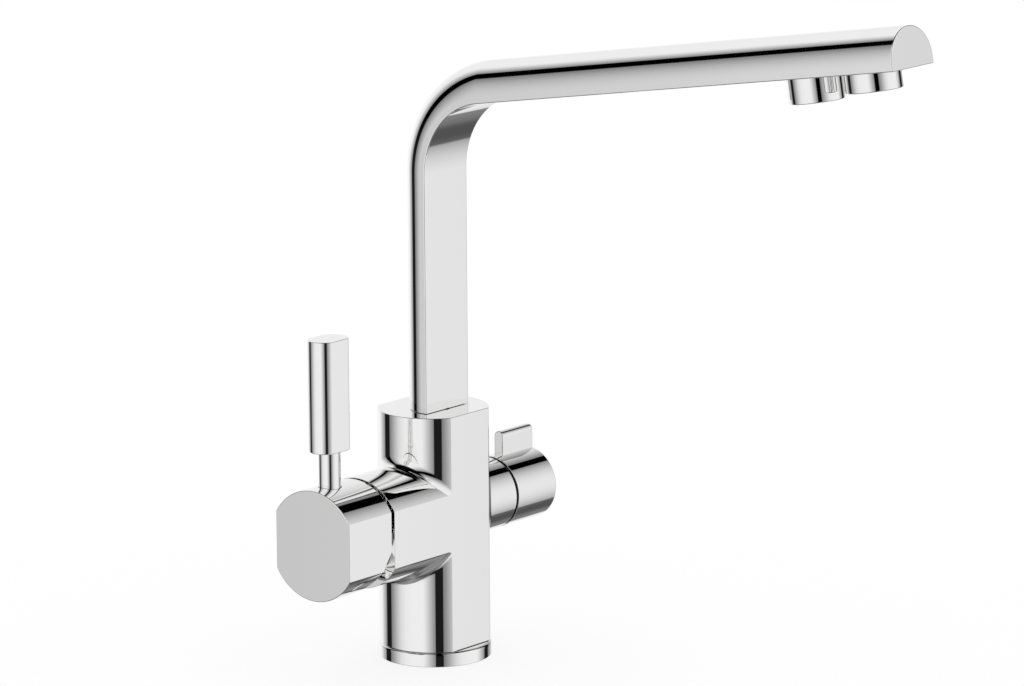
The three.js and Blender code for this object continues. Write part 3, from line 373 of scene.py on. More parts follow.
def cove(branch, ball, matrix, start, end, rows=56, steps=10):
    """Filler of the corner between the column and a round branch, left by a ball rolled along the joint.
    The branch runs along local z and the column along local y. start and end are angles round the branch."""
    sink = 0.3                  # how far the filler goes into both bodies
    rings = []
    for k in range(rows + 1):
        t = start + (end - start) * k / rows
        x, y = (branch + ball) * math.sin(t), (branch + ball) * math.cos(t)
        c = Vector((x, y, math.sqrt((BODY_R + ball) ** 2 - x * x)))
        a, b = -Vector((x, 0, c.z)).normalized(), -Vector((x, y, 0)).normalized()
        w = a.angle(b)
        ring = []
        for i in range(steps + 1):
            d = a * (math.sin(w * (1 - i / steps)) / math.sin(w)) + b * (math.sin(w * i / steps) / math.sin(w))
            ring.append((c + d * ball, -d))
        ring.append((c + b * (ball + sink), -b))
        ring.append((c + (a + b) * (ball + 2 * sink), -(a + b).normalized()))
        ring.append((c + a * (ball + sink), -a))
        rings.append(ring)
    shell = loft(rings)
    if end - start > 0.999 * FULL_TURN:     # a closed loop: its last ring is its first
        n = len(rings[0])
        last = rows * n
        shell.faces = [tuple(i - last if i >= last else i for i in f) for f in shell.faces[:-2]]
        shell.points, shell.normals = shell.points[:last], shell.normals[:last]
    if volume(shell) < 0:
        shell.faces = [tuple(reversed(f)) for f in shell.faces]
    return shell.moved(matrix)


def volume(shell):
    """Six times the signed volume: below 0 where the faces look inwards."""
    total = 0.0
    for f in shell.faces:
        for k in range(1, len(f) - 1):
            total += shell.points[f[0]].dot(shell.points[f[k]].cross(shell.points[f[k + 1]]))
    return total


def hexagon(flats):
    """Corners of a hexagon of the given width across its flats."""
    r = flats / math.sqrt(3)
    return [(r * math.cos(math.radians(60 * k + 30)), r * math.sin(math.radians(60 * k + 30))) for k in range(6)]


def basis(origin, x, y, z):
    """Matrix of a frame from its origin and axes."""
    m = Matrix((x, y, z)).transposed().to_4x4()
    m.translation = origin
    return m


# frames: local z is a piece's own axis
MIXER = basis(Vector((0, 0, MIXER_Z)), X, Z, -Y)
VALVE = basis(Vector((0, 0, VALVE_Z)), -X, Z, Y)
LEVER = Matrix.Translation((0, -LEVER_Y, 0))


def drilled(radius, start, end, segments=48):
    """Round hole between two points."""
    along = Vector(end) - Vector(start)
    z = along.normalized()
    x = (Y if abs(z.x) > 0.9 else X).cross(z).normalized()
    return rod(radius, 0, along.length, CRISP, segments).moved(basis(Vector(start), x, z.cross(x), z))


# ---------------------------------------------------------------- meshes
def mesh_of(name, shell):
    """Mesh in metres from a shell in millimetres."""
    mesh = bpy.data.meshes.new(name)
    mesh.from_pydata([p * MM for p in shell.points], [], shell.faces)
    mesh.update()
    return mesh


def place(name, mesh):
    """Object in the scene that shows a mesh."""
    obj = bpy.data.objects.new(name, mesh)
    bpy.context.scene.collection.objects.link(obj)
    return obj


def combined(name, base, steps, sources=()):
    """Joins and cuts shells in turn, then gives every face the true normals of the shell it came from.
    A shell of kind JOIN is a finished mesh without true normals of its own: its sources are named instead."""
    obj = place(name, mesh_of(name, base))
    tools = []
    for k, (kind, shell) in enumerate(steps):
        tool = place(f"{name}_tool_{k}", mesh_of(f"{name}_tool_{k}", shell))
        mod = obj.modifiers.new(f"m{k}", "BOOLEAN")
        mod.operation = "UNION" if kind == "JOIN" else kind
        mod.solver = "MANIFOLD"
        mod.object = tool
        tools.append(tool)
    bpy.context.view_layer.update()
    graph = bpy.context.evaluated_depsgraph_get()
    mesh = bpy.data.meshes.new_from_object(obj.evaluated_get(graph))
    obj.modifiers.clear()
    old = obj.data
    obj.data = mesh
    mesh.name = name
    bpy.data.meshes.remove(old)
    for tool in tools:
        data = tool.data
        bpy.data.objects.remove(tool)
        bpy.data.meshes.remove(data)
    shells = [(base, 1)] + [(s, -1 if kind == "DIFFERENCE" else 1) for kind, s in steps if kind != "JOIN"]
    true_normals(mesh, shells + [(s, 1) for s in sources])
    return obj


def shell_of(obj):
    """A finished mesh as a shell again, for a further join. The mesh itself is dropped."""
    mesh = obj.data
    points = [v.co / MM for v in mesh.vertices]
    shell = Shell(points, points, [tuple(p.vertices) for p in mesh.polygons])
    bpy.data.objects.remove(obj)
    bpy.data.meshes.remove(mesh)
    return shell


def true_normals(mesh, shells):
    """Gives each corner the normal of the shell that its face came from. sign is -1 for shells that cut.
    Faces that come from none of them, and corners where that normal leans too far, stay flat."""
    reach, tie = 2e-5, 1e-8     # metres
    same_side, least_lean = 0.9, 0.3    # cosines
    trees = []
    for shell, sign in shells:
        points = [p * MM for p in shell.points]
        trees.append((BVHTree.FromPolygons(points, shell.faces), points, shell, sign))
    corner = [Vector(n.vector) for n in mesh.corner_normals]
    for poly in mesh.polygons:
        poly.use_smooth = True
        best = None
        for tree, points, shell, sign in trees:
            hit, normal, index, distance = tree.find_nearest(poly.center, reach)
            if hit is None or normal.dot(poly.normal) * sign < same_side:
                continue
            if best is None or distance < best[0] - tie:
                best = (distance, points, shell, sign, index)
        for li in poly.loop_indices:
            if best is None:
                corner[li] = Vector(poly.normal)
                continue
            _, points, shell, sign, index = best
            face = shell.faces[index]
            weights = poly_3d_calc([points[i] for i in face], mesh.vertices[mesh.loops[li].vertex_index].co)
            n = Vector((0, 0, 0))
            for w, i in zip(weights, face):
                n += shell.normals[i] * w
            n = n.normalized() * sign
            corner[li] = n if n.dot(poly.normal) > least_lean else Vector(poly.normal)
    mesh.normals_split_custom_set([tuple(n) for n in corner])


def plain(name, shell):
    """Object from one shell, as it is."""
    mesh = mesh_of(name, shell)
    for poly in mesh.polygons:
        poly.use_smooth = True
    mesh.normals_split_custom_set_from_vertices([tuple(n.normalized()) for n in shell.normals])
    return place(name, mesh)


# ---------------------------------------------------------------- materials
NOISE_RANGE = 0.3, 0.7          # where nearly all of a noise's values lie


def material(name):
    """A new material, with its tree and its shader."""
    mat = bpy.data.materials.new(name)
    mat.use_nodes = True
    tree = mat.node_tree
    return mat, tree, tree.nodes["Principled BSDF"]


def node(tree, kind, **values):
    """A new node. Each value goes to the input of its name, or else to the node's own setting."""
    n = tree.nodes.new(kind)
    for key, value in values.items():
        if key in n.inputs:
            n.inputs[key].default_value = value
        else:
            setattr(n, key, value)
    return n


def noise_to(tree, scale, low, high, socket, detail=4.0, stretch=(1, 1, 1)):
    """Noise in object space, mapped between two values for a socket. Returns the noise and the mapping."""
    where = node(tree, "ShaderNodeTexCoord")
    mapping = node(tree, "ShaderNodeMapping")
    mapping.inputs["Scale"].default_value = stretch
    noise = node(tree, "ShaderNodeTexNoise")
    noise.inputs["Scale"].default_value = scale
    noise.inputs["Detail"].default_value = detail
    span = node(tree, "ShaderNodeMapRange")
    span.inputs["From Min"].default_value, span.inputs["From Max"].default_value = NOISE_RANGE
    span.inputs["To Min"].default_value = low
    span.inputs["To Max"].default_value = high
    tree.links.new(where.outputs["Object"], mapping.inputs["Vector"])
    tree.links.new(mapping.outputs["Vector"], noise.inputs["Vector"])
    tree.links.new(noise.outputs["Fac"], span.inputs["Value"])
    if socket is not None:
        tree.links.new(span.outputs["Result"], socket)
    return noise, span


def bump_from(tree, source, shader, strength, distance):
    """Lets a texture tilt the shader's normal."""
    bump = node(tree, "ShaderNodeBump")
    bump.inputs["Strength"].default_value = strength
    bump.inputs["Distance"].default_value = distance
    tree.links.new(source, bump.inputs["Height"])
    tree.links.new(bump.outputs["Normal"], shader.inputs["Normal"])


def tinted(tree, noise, shader, dark, light):
    """Base colour between two shades, by a noise."""
    mix = node(tree, "ShaderNodeMix", data_type="RGBA")
    shades = [s for s in mix.inputs if s.type == "RGBA"]
    shades[0].default_value = (*dark, 1)
    shades[1].default_value = (*light, 1)
    tree.links.new(noise.outputs["Fac"], mix.inputs[0])
    out = [s for s in mix.outputs if s.type == "RGBA"][0]
    tree.links.new(out, shader.inputs["Base Color"])


def chrome():
    mat, tree, shader = material("polished_chrome")
    shader.inputs["Base Color"].default_value = (0.935, 0.935, 0.932, 1)
    shader.inputs["Metallic"].default_value = 1
    noise_to(tree, 90.0, 0.018, 0.04, shader.inputs["Roughness"])
    ripple, _ = noise_to(tree, 35.0, 0, 1, None, detail=2.0)
    bump_from(tree, ripple.outputs["Fac"], shader, 0.02, 0.00001)
    return mat


def turned_metal(name, dark, light, low, high):
    """Metal with fine turning lines. low and high are its roughness."""
    mat, tree, shader = material(name)
    shader.inputs["Metallic"].default_value = 1
    noise, _ = noise_to(tree, 260.0, low, high, shader.inputs["Roughness"], detail=6.0)
    tinted(tree, noise, shader, dark, light)
    lines, _ = noise_to(tree, 1200.0, 0, 1, None, detail=2.0, stretch=(0.15, 0.15, 4.0))
    bump_from(tree, lines.outputs["Fac"], shader, 0.15, 0.00004)
    return mat


def moulded(name, dark, light, low, high, grain, depth):
    """Plastic, rubber or ceramic with a fine grain. low and high are its roughness."""
    mat, tree, shader = material(name)
    noise, _ = noise_to(tree, 140.0, low, high, shader.inputs["Roughness"], detail=5.0)
    tinted(tree, noise, shader, dark, light)
    texture, _ = noise_to(tree, grain, 0, 1, None, detail=3.0)
    bump_from(tree, texture.outputs["Fac"], shader, 0.3, depth)
    return mat


LOOKS = {
    "chrome": chrome(),
    "brass": turned_metal("machined_brass", (0.50, 0.36, 0.13), (0.62, 0.46, 0.2), 0.22, 0.38),
    "steel": turned_metal("machined_steel", (0.44, 0.45, 0.46), (0.56, 0.57, 0.58), 0.22, 0.36),
    "rubber": moulded("black_rubber", (0.008, 0.008, 0.008), (0.016, 0.016, 0.016), 0.7, 0.9, 900.0, 0.00005),
    "black_plastic": moulded("black_nylon", (0.010, 0.010, 0.011), (0.018, 0.018, 0.019), 0.4, 0.55, 700.0,
                             0.00003),
    "white_plastic": moulded("white_acetal", (0.76, 0.76, 0.73), (0.83, 0.83, 0.8), 0.35, 0.5, 500.0, 0.00003),
    "grey_plastic": moulded("grey_acetal", (0.25, 0.26, 0.27), (0.32, 0.33, 0.34), 0.38, 0.55, 500.0, 0.00003),
    "ceramic": moulded("alumina", (0.82, 0.8, 0.75), (0.88, 0.87, 0.83), 0.12, 0.22, 300.0, 0.00001),
}

slot_of = {s["node"]: s["material_slot"] for s in frame["record"]["subparts"]}
for name, obj in frame["nodes"].items():
    look = LOOKS[slot_of[name]]
    if not obj.material_slots:
        obj.data.materials.append(look)
    for s in obj.material_slots:
        s.material = look


def finish_piece(obj, body, slot, *replaced):
    """Gives a piece its material and its body, and hides the solids that it stands for."""
    obj.data.materials.clear()
    obj.data.materials.append(LOOKS[slot])
    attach(obj, body)
    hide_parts(*replaced)


# ---------------------------------------------------------------- base
def inner_d(gap):
    """The column's section, smaller by a gap all round."""
    return lambda d: double_d(BODY_R - gap, BODY_FLAT - gap, d, corner=0.3)


ring = turned([(0, 0), (RING_R, 0), (RING_R, RING_TOP), (0, RING_TOP)],
              [0, RING_FOOT_EDGE, RING_EDGE, 0], ROUND, steps=10)
groove = turned([(SEAL_IN, -PAST), (SEAL_OUT, -PAST), (SEAL_OUT, SEAL_DEPTH), (SEAL_IN, SEAL_DEPTH)],
                FINE, FINE_ROUND, closed=True)
finish_piece(combined("base_flange", ring, [
    ("DIFFERENCE", prism(inner_d(RING_POCKET), RING_SEAT, RING_TOP + PAST, FINE, FINE)),
    ("UNION", rod(RING_SPIGOT_R, RING_SEAT - PAST, RING_SPIGOT_TOP, SEAM, FINE_ROUND)),
    ("DIFFERENCE", rod(RING_BORE, -PAST, RING_SPIGOT_TOP + PAST, segments=FINE_ROUND)),
    ("DIFFERENCE", groove),
]), "column", "chrome", "base_ring")

# the spacer is a real part, but its black colour is painted shadow: it darkens the gap between the base ring and
# the column
spacer = prism(inner_d(SPACER_INSET), RING_SEAT, BODY_BOTTOM, TINY, TINY)
finish_piece(combined("spacer_painted_shadow", spacer, [("DIFFERENCE", rod(RECESS_R, 0, BODY_BOTTOM + PAST))]),
             "column", "black_plastic", "column_spacer")

# ---------------------------------------------------------------- column, mixer housing and valve collar
def column_d(d):
    """Section of the column, the mixer housing and its cap."""
    return double_d(BODY_R, BODY_FLAT, d)


def port(angle, z):
    """Point on the axis of an inlet, at a height."""
    return Vector((PORT_CIRCLE * math.cos(math.radians(angle)), PORT_CIRCLE * math.sin(math.radians(angle)), z))


column = prism(column_d, BODY_BOTTOM, BODY_TOP, SEAM)
housing = prism(column_d, HOUSING_START, HOUSING_END, FINE, SEAM).moved(MIXER)
collar = turned([(0, COLLAR_START), (VALVE_R, COLLAR_START), (VALVE_R, COLLAR_END), (0, COLLAR_END)],
                SEAM, ROUND).moved(VALVE)
cuts = [
    rod(RECESS_R, 0, RECESS_TOP),
    rod(STUD_R, RECESS_TOP - PAST, RECESS_TOP + STUD_DEPTH),
    rod(SWIVEL_BORE, SWIVEL_FLOOR, BODY_TOP + PAST),
    rod(CARTRIDGE_BORE, CARTRIDGE_FLOOR, HOUSING_END + PAST, segments=FINE_ROUND).moved(MIXER),
    rod(VALVE_BORE, VALVE_FLOOR, COLLAR_END + PAST).moved(VALVE),
    rod(COUNTERBORE, COUNTERBORE_START, COLLAR_END + PAST, segments=FINE_ROUND).moved(VALVE),
    drilled(STOP_R, (-BODY_FLAT - PAST, 0, STOP_Z), (PAST - SWIVEL_BORE, 0, STOP_Z)),
    # mixed water, from the cartridge up to the spout
    drilled(MIXER_WAY_R, (0, MIXER_WAY_Y, MIXED_WAY_Z), (0, MIXED_WAY_Y + PAST, MIXED_WAY_Z)),
    drilled(MIXER_WAY_R, (0, MIXED_WAY_Y, MIXED_WAY_Z - PAST), (0, MIXED_WAY_Y, SWIVEL_FLOOR + PAST)),
    # filtered water, from its inlet to the valve and on to the tube in the spout
    drilled(FILTERED_WAY_R, port(FILTERED, RECESS_TOP), port(FILTERED, FILTERED_WAY_TOP)),
    drilled(FILTERED_WAY_R, port(FILTERED, FILTERED_WAY_Z), (0, FILTERED_WAY_Y, FILTERED_WAY_Z)),
    drilled(FILTERED_WAY_R, (0, FILTERED_WAY_Y, FILTERED_WAY_Z - WAY_OVERLAP), (0, FILTERED_WAY_Y, VALVE_Z)),
    drilled(FILTERED_WAY_R, (0, 0, VALVE_Z), (0, VALVE_FLOOR + PAST, VALVE_Z)),
    rod(TUBE_SOCKET_R, VALVE_Z - PAST, SWIVEL_FLOOR + PAST),
]
# hot and cold water, from their inlets to the cartridge
for angle, side in ((HOT, -1), (COLD, 1)):
    cuts.append(drilled(MIXER_WAY_R, port(angle, RECESS_TOP), port(angle, MIXER_WAY_TOP)))
    cuts.append(drilled(MIXER_WAY_R, port(angle, MIXER_WAY_Z), (side * MIXER_WAY_X, MIXER_WAY_Y, MIXER_WAY_Z)))
for angle in (HOT, COLD, FILTERED):
    cuts.append(drilled(PORT_R, port(angle, RECESS_TOP - PAST), port(angle, RECESS_TOP + PORT_DEPTH)))
spread = COVE_SPREAD * math.asin(BODY_FLAT / BODY_R)
coves = [cove(BODY_R, COVE_R, MIXER, middle - spread, middle + spread) for middle in (0, math.pi)]
# the part of the coves that is kept lies between the flats
between_flats = polygon([(-BODY_FLAT, -60), (BODY_FLAT, -60), (BODY_FLAT, 0), (-BODY_FLAT, 0)],
                        10, BODY_TOP - 2, 0.001, 0.001)
collar_cove = cove(VALVE_R, VALVE_COVE_R, VALVE, 0, FULL_TURN, rows=96, steps=6)
fillers = [shell_of(combined(f"cove_{k}", c, [("INTERSECT", between_flats)])) for k, c in enumerate(coves)]
body = combined(
    "column_casting", column,
    [("UNION", housing), ("UNION", collar), ("UNION", collar_cove)] + [("JOIN", f) for f in fillers]
    + [("DIFFERENCE", c) for c in cuts],
    coves + [between_flats])
finish_piece(body, "column", "chrome", "column_body")

# ---------------------------------------------------------------- ball neck, cap and lever
neck = [(NUT_BORE, NUT_END), (NECK_R, NUT_END), (NECK_R, HOUSING_END)]
for k in range(NECK_ROWS + 1):
    out = HOUSING_END + (NECK_END - HOUSING_END) * k / NECK_ROWS
    neck.append((math.sqrt(NECK_BALL ** 2 - (out - PIVOT) ** 2), out))
neck.append((NUT_BORE, NECK_END))
smooth = 0.5                    # rounds the ball's facets away
radii = [TINY, TINY, CRISP, TINY] + [smooth] * (NECK_ROWS - 1) + [SEAM, SEAM]
finish_piece(plain("ball_neck", turned(neck, radii, ROUND, closed=True, steps=2).moved(MIXER)),
             "column", "chrome", "mixer_neck")

far = 2 * BODY_R
slope = (MIXER @ Matrix.Translation((0, -RELIEF_START, CAP_START))
         @ Matrix.Rotation(-math.radians(RELIEF_ANGLE), 4, "X"))
relief = polygon([(-far, -far), (far, -far), (far, 0), (-far, 0)], -far, 0).moved(slope)
cavity = prism(lambda d: double_d(BODY_R - CAP_WALL, BODY_FLAT - CAP_WALL, d),
               CAP_START - PAST, CAP_FACE - CAP_FRONT, FINE, CAP_CORNER).moved(MIXER)
square = [(-SPINDLE_HOLE, -SPINDLE_HOLE), (SPINDLE_HOLE, -SPINDLE_HOLE),
          (SPINDLE_HOLE, SPINDLE_HOLE), (-SPINDLE_HOLE, SPINDLE_HOLE)]
cap_grub = Matrix.Translation((0, -CAP_GRUB, 0))
cap_low, cap_high = MIXER_Z - BODY_R, MIXER_Z + BODY_R
cap = combined("mixer_cap_shell", prism(column_d, CAP_START, CAP_FACE, SEAM, EDGE).moved(MIXER), [
    ("DIFFERENCE", cavity),
    ("DIFFERENCE", relief),
    ("UNION", rod(CAP_BOSS_R, CAP_BOSS_START, CAP_FACE - CAP_FRONT + PAST, FINE).moved(MIXER)),
    ("DIFFERENCE", polygon(square, CAP_BOSS_START - PAST, SPINDLE_END).moved(MIXER)),
    ("DIFFERENCE", rod(STEM_R + STEM_HOLE, STEM_HOLE_START, cap_high + PAST).moved(LEVER)),
    ("DIFFERENCE", rod(STEM_TIP_R + SLIP, MIXER_Z, cap_high).moved(LEVER)),
    ("DIFFERENCE", rod(GRUB_R, MIXER_Z - CAP_BOSS_R - PAST, MIXER_Z).moved(cap_grub)),
    ("DIFFERENCE", rod(CAP_GRUB_ACCESS, cap_low - PAST, CAP_GRUB_ACCESS_END).moved(cap_grub)),
])
finish_piece(cap, "lever", "chrome", "mixer_cap")

spigot_end = GRIP_BOTTOM + GRIP_SPIGOT
stem = [
    (0, STEM_TIP), (STEM_TIP_R, STEM_TIP), (STEM_TIP_R, STEM_BOTTOM), (STEM_R, STEM_BOTTOM),
    (STEM_R, GRIP_BOTTOM), (GRIP_SPIGOT_R, GRIP_BOTTOM), (GRIP_SPIGOT_R, spigot_end), (0, spigot_end),
]
finish_piece(plain("lever_pin", turned(stem).moved(LEVER)), "lever", "chrome", "lever_stem")
blank = prism(lambda d: double_d(GRIP_R, GRIP_FLAT, d, corner=0.3, steps=40, apart=GRIP_APART),
              GRIP_BOTTOM, GRIP_TOP)
grip = combined("lever_handle", blank.moved(LEVER), [
    ("DIFFERENCE", rod(GRIP_SPIGOT_R + SLIP, GRIP_BOTTOM - PAST, spigot_end + GRIP_SPIGOT_ROOM).moved(LEVER)),
])
finish_piece(grip, "lever", "chrome", "lever_grip")

# ---------------------------------------------------------------- filter valve knob
hollow_r, hollow_end = VALVE_R - KNOB_WALL, KNOB_END - KNOB_CAP
knob_outer = turned([(0, KNOB_START), (VALVE_R, KNOB_START), (VALVE_R, KNOB_END), (0, KNOB_END)],
                    [0, SEAM, KNOB_EDGE, 0], ROUND).moved(VALVE)
knob_hollow = turned([
    (0, KNOB_START - PAST), (hollow_r, KNOB_START - PAST), (hollow_r, hollow_end),
    (KNOB_BOSS_R, hollow_end), (KNOB_BOSS_R, KNOB_BOSS_START), (0, KNOB_BOSS_START),
]).moved(VALVE)


def paddle_side(inset):
    """The paddle from the side, with its free corner rounded."""
    corners = [(PADDLE_START - PAST, PADDLE_ROOT), (PADDLE_END, PADDLE_ROOT), (PADDLE_END, PADDLE_TOP),
               (PADDLE_START - PAST, PADDLE_TOP)]
    path = fillet(corners, [TINY, TINY, PADDLE_CORNER, TINY], steps=12)
    return [(x - a * inset, y - b * inset, a, b) for x, y, a, b in path]


def paddle_section(inset):
    """The paddle's section, half round along its free edge."""
    half, root = PADDLE_HALF - inset, PADDLE_ROOT - PAST
    top = arc(0, PADDLE_TOP - PADDLE_HALF, half, 0, math.pi, 32)
    return [(half, root, 1, 0)] + top + [(-half, root, -1, 0)]


paddle = prism(paddle_side, -PADDLE_HALF - PAST, PADDLE_HALF + PAST, TINY, TINY).moved(
    basis(Vector((0, 0, VALVE_Z)), Y, Z, X))
bullnose = prism(paddle_section, PADDLE_START, PADDLE_END, PADDLE_EDGE, PADDLE_EDGE, steps=8).moved(VALVE)
knob_grub = basis(Vector((0, KNOB_GRUB, VALVE_Z)), X, -Y, -Z)
knob = combined("filter_knob_shell", knob_outer, [
    ("JOIN", shell_of(combined("knob_blade", paddle, [("INTERSECT", bullnose)]))),
    ("DIFFERENCE", knob_hollow),
    ("DIFFERENCE", rod(KNOB_BORE, KNOB_BOSS_START - PAST, hollow_end - KNOB_BORE_STOP).moved(VALVE)),
    ("DIFFERENCE", rod(GRUB_R, 0, KNOB_BOSS_R + PAST).moved(knob_grub)),
    ("DIFFERENCE", rod(KNOB_GRUB_ACCESS, KNOB_GRUB_ACCESS_START, VALVE_R + PAST).moved(knob_grub)),
], [paddle, bullnose])
finish_piece(knob, "knob", "chrome", "filter_knob")

glide_in = GLIDE_R - GLIDE_WALL
glide = [(glide_in, GLIDE_START), (GLIDE_R, GLIDE_START), (GLIDE_R, GLIDE_END), (glide_in, GLIDE_END)]
finish_piece(plain("glide_ring", turned(glide, SEAM, FINE_ROUND, closed=True).moved(VALVE)),
             "column", "black_plastic", "valve_glide_ring")

# ---------------------------------------------------------------- spout
tilt = math.radians(ARM_TILT)
bend = RIGHT_ANGLE - tilt
arm_way = Vector((math.cos(tilt), 0, math.sin(tilt)))
arm_down = Vector((math.sin(tilt), 0, -math.cos(tilt)))
bend_centre = Vector((BEND_RADIUS, 0, BEND_CENTRE_Z))
bend_end = bend_centre - arm_down * BEND_RADIUS
inner_face = SPOUT_FLAT - SPOUT_WALL


def swept(inset, foot, length, edge_foot, edge_tip, steps=56):
    """The D carried up the riser, round the bend and along the arm, with rounded edges at both ends."""
    rings = []

    def ring_at(point, heading, extra, lean):
        """Adds one section. lean tilts its normals towards the end, 0 along the sides."""
        t = Vector((math.sin(heading), 0, math.cos(heading)))
        n = Vector((math.cos(heading), 0, -math.sin(heading)))
        ring = []
        for u, v, a, b in spout_d(inset + extra, SPOUT_CORNER + inset):
            normal = (n * a + Y * b) * math.cos(lean) + t * math.sin(lean)
            ring.append((point + n * u + Y * v, normal))
        rings.append(ring)

    for k in range(CORNER_STEPS + 1):
        w = RIGHT_ANGLE * (1 - k / CORNER_STEPS)
        ring_at(Vector((0, 0, foot + edge_foot * (1 - math.sin(w)))), 0, edge_foot * (1 - math.cos(w)), -w)
    for k in range(steps + 1):
        h = bend * k / steps
        ring_at(bend_centre - Vector((math.cos(h), 0, -math.sin(h))) * BEND_RADIUS, h, 0, 0)
    for k in range(CORNER_STEPS + 1):
        w = RIGHT_ANGLE * k / CORNER_STEPS
        ring_at(bend_end + arm_way * (length - edge_tip * (1 - math.sin(w))), bend,
                edge_tip * (1 - math.cos(w)), w)
    return loft(rings)


def outlet_frame(from_tip):
    """Frame of an outlet: local z runs down from the middle of the arm."""
    return basis(bend_end + arm_way * (ARM_LENGTH - from_tip), Y.cross(arm_down), Y, arm_down)


holes = [rod(OUTLET_NECK + OUTLET_NECK_ROOM, inner_face - PAST, SPOUT_FLAT + PAST).moved(outlet_frame(from_tip))
         for from_tip, _, _ in OUTLETS.values()]
inside = swept(SPOUT_WALL, SPOUT_FOOT - PAST, ARM_LENGTH - ARM_END_WALL, TINY, TINY)
spout = combined("spout_tube", swept(0, SPOUT_FOOT, ARM_LENGTH, SEAM, EDGE),
                 [("DIFFERENCE", c) for c in [inside] + holes])
finish_piece(spout, "spout", "chrome", "spout")

# ---------------------------------------------------------------- outlets
for name, (from_tip, drop, radius) in OUTLETS.items():
    at, bore = outlet_frame(from_tip), radius - OUTLET_WALL
    neck_top = inner_face + OUTLET_NECK_IN
    end = SPOUT_FLAT + drop
    shoulder = SPOUT_FLAT + OUTLET_SHOULDER
    sleeve = [
        (OUTLET_THROAT, neck_top), (OUTLET_NECK, neck_top), (OUTLET_NECK, SPOUT_FLAT), (radius, SPOUT_FLAT),
        (radius, end), (bore, end), (bore, shoulder), (OUTLET_THROAT, shoulder),
    ]
    finish_piece(plain(f"{name}_outlet_ring", turned(sleeve, OUTLET_EDGES, 144, closed=True).moved(at)),
                 "spout", "chrome", f"{name}_outlet_sleeve")
    top, bottom, rim = shoulder + WASHER, end - INSERT_BACK, bore - SLIP
    disc = turned([(0, top), (rim, top), (rim, bottom), (0, bottom)], [0, FINE, INSERT_EDGE, 0], 96).moved(at)
    cells = []
    for row in range(-4, 5):
        for col in range(-5, 6):
            x, y = CELL_PITCH * (col + (row % 2) / 2), CELL_PITCH * row * math.sqrt(3) / 2
            if math.hypot(x, y) < bore - CELL_RIM:
                cell = polygon(hexagon(CELL_FLATS), top - PAST, bottom + PAST, TINY, TINY)
                cells.append(("DIFFERENCE", cell.moved(at @ Matrix.Translation((x, y, 0)))))
    finish_piece(combined(f"{name}_outlet_mesh", disc, cells), "spout",
                 "white_plastic" if name == "mixed" else "grey_plastic", f"{name}_outlet_insert")

# ---------------------------------------------------------------- floor
FLOOR_HALF, FLOOR_Z = 9.0, -0.0001      # metres
FLOOR_GLOW = 0.8                # share of plain white in what the camera sees of it
floor = bpy.data.meshes.new("floor")
floor.from_pydata([(x * FLOOR_HALF, y * FLOOR_HALF, FLOOR_Z) for x, y in ((-1, -1), (1, -1), (1, 1), (-1, 1))],
                  [], [(0, 1, 2, 3)])
floor_obj = place("floor", floor)
floor_obj.visible_glossy = False
mat, tree, shader = material("pale_floor")
tree.nodes.remove(shader)
output = tree.nodes["Material Output"]
diffuse = node(tree, "ShaderNodeBsdfDiffuse")
diffuse.inputs["Color"].default_value = (1, 1, 1, 1)
glow = node(tree, "ShaderNodeEmission")
ray = node(tree, "ShaderNodeLightPath")
share = node(tree, "ShaderNodeMath", operation="MULTIPLY")
share.inputs[1].default_value = FLOOR_GLOW
mixer = node(tree, "ShaderNodeMixShader")
tree.links.new(ray.outputs["Is Camera Ray"], share.inputs[0])
tree.links.new(share.outputs[0], mixer.inputs[0])
tree.links.new(diffuse.outputs[0], mixer.inputs[1])
tree.links.new(glow.outputs[0], mixer.inputs[2])
tree.links.new(mixer.outputs[0], output.inputs["Surface"])
floor.materials.append(mat)

# ---------------------------------------------------------------- studio light
world = bpy.data.worlds.new("studio")
bpy.context.scene.world = world
world.use_nodes = True
wt = world.node_tree
wt.nodes.clear()


def maths(operation, *inputs):
    """Output of a maths node. Its inputs are numbers or other outputs."""
    n = wt.nodes.new("ShaderNodeMath")
    n.operation = operation
    for k, value in enumerate(inputs):
        if isinstance(value, (int, float)):
            n.inputs[k].default_value = value
        else:
            wt.links.new(value, n.inputs[k])
    return n.outputs[0]


def ramp(value, stops):
    """Grey level from (position, grey) stops."""
    n = wt.nodes.new("ShaderNodeValToRGB")
    points = n.color_ramp.elements
    points[0].position, points[1].position = stops[0][0], stops[-1][0]
    for position, _ in stops[1:-1]:
        points.new(position)
    for element, (_, grey) in zip(points, stops):
        element.color = (grey, grey, grey, 1)
    wt.links.new(value, n.inputs[0])
    return n.outputs[0]


def between(value, low, high):
    """0 below low, 1 above high."""
    n = wt.nodes.new("ShaderNodeMapRange")
    n.inputs["From Min"].default_value = low
    n.inputs["From Max"].default_value = high
    n.clamp = True
    wt.links.new(value, n.inputs["Value"])
    return n.outputs["Result"]


PANEL_STEP, FIRST_GAP = 120.0, 79.5     # degrees
where = wt.nodes.new("ShaderNodeTexCoord")
split = wt.nodes.new("ShaderNodeSeparateXYZ")
wt.links.new(where.outputs["Generated"], split.inputs[0])
turn = maths("DEGREES", maths("ARCTAN2", split.outputs["Y"], split.outputs["X"]))
rise = maths("DEGREES", maths("ARCSINE", split.outputs["Z"]))
# three white panels stand round the tap, with a narrow black gap between each two
around = maths("FRACT", maths("DIVIDE", maths("ADD", turn, 2 * 360 - FIRST_GAP), PANEL_STEP))
panels = ramp(around, [
    (0.0, 0.0), (0.066, 0.0), (0.071, 0.205), (0.133, 0.335), (0.3, 0.75), (0.4, 0.87), (0.55, 0.905),
    (0.717, 0.9), (0.75, 0.83), (0.917, 0.285), (0.929, 0.27), (0.934, 0.0), (1.0, 0.0),
])
dark = ramp(around, [(0.0, 0.012), (0.07, 0.012), (0.075, 0.0), (0.925, 0.0), (0.93, 0.012), (1.0, 0.012)])
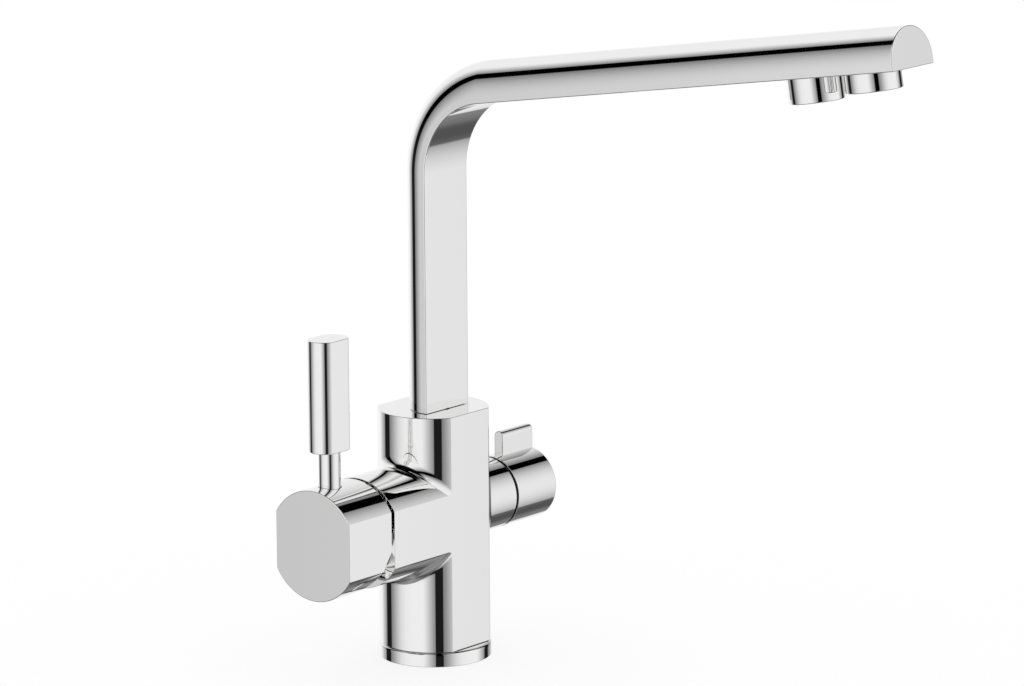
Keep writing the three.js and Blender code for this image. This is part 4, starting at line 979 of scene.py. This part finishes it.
# the panel behind the tap, which spans the angle's own wrap, is a little brighter low down
wrapped = maths("MAXIMUM", between(turn, 78.0, 80.0), between(maths("MULTIPLY", turn, -1.0), 158.0, 160.0))
lift = maths("MULTIPLY", wrapped, maths("SUBTRACT", 1.0, between(rise, 3.0, 16.0)))
bright = maths("MULTIPLY", panels, maths("ADD", 1.0, maths("MULTIPLY", lift, 0.06)))
low_dark = maths("MULTIPLY", dark, maths("SUBTRACT", 1.0, between(rise, -8.0, 4.0)))
walls = maths("ADD", bright, low_dark)
ground = ramp(around, [
    (0.0, 0.085), (0.05, 0.09), (0.09, 0.11), (0.133, 0.165), (0.217, 0.21), (0.5, 0.3), (0.8, 0.22),
    (0.9, 0.12), (0.95, 0.09), (1.0, 0.085),
])
above = between(rise, -35.3, -33.9)
studio = maths("ADD", maths("MULTIPLY", walls, above),
               maths("MULTIPLY", ground, maths("SUBTRACT", 1.0, above)))
# the panels end under a black ceiling, a little lower at their sides
top = maths("ADD", rise, maths("MULTIPLY", maths("ABSOLUTE", maths("SUBTRACT", around, 0.5)), 12.0))
studio = maths("MULTIPLY", studio, maths("SUBTRACT", 1.0, between(top, 48.0, 60.0)))

paths = wt.nodes.new("ShaderNodeLightPath")
glossy = paths.outputs["Is Glossy Ray"]
level = maths("ADD", maths("MULTIPLY", studio, glossy), maths("SUBTRACT", 1.0, glossy))
light = wt.nodes.new("ShaderNodeBackground")
light.inputs["Color"].default_value = (1, 1, 1, 1)
wt.links.new(level, light.inputs["Strength"])
world_out = wt.nodes.new("ShaderNodeOutputWorld")
wt.links.new(light.outputs[0], world_out.inputs["Surface"])

# ---------------------------------------------------------------- camera, fitted to the photograph
YAW, PITCH, ROLL = math.radians(39.501), math.radians(12.351), math.radians(-0.35)
DISTANCE, RIGHT_SHIFT, UP_SHIFT = 2.581154, 0.034683, 0.139841      # metres
FOCAL, PHOTO_WIDTH = 5709.5, 1024       # pixels
SENSOR = 36.0                   # millimetres
forward = Vector((-math.sin(YAW) * math.cos(PITCH), math.cos(YAW) * math.cos(PITCH), -math.sin(PITCH)))
level_right = Vector((math.cos(YAW), math.sin(YAW), 0))
level_up = level_right.cross(forward)
right = level_right * math.cos(ROLL) + level_up * math.sin(ROLL)
upward = level_up * math.cos(ROLL) - level_right * math.sin(ROLL)
camera = bpy.data.objects.new("camera", bpy.data.cameras.new("camera"))
bpy.context.scene.collection.objects.link(camera)
camera.data.sensor_width = SENSOR
camera.data.lens = FOCAL * SENSOR / PHOTO_WIDTH
camera.data.clip_start, camera.data.clip_end = 0.05, 60.0
eye = right * RIGHT_SHIFT + upward * UP_SHIFT - forward * DISTANCE
camera.matrix_world = basis(eye, right, upward, -forward)
bpy.context.scene.camera = camera
bpy.context.scene.view_settings.view_transform = "Standard"
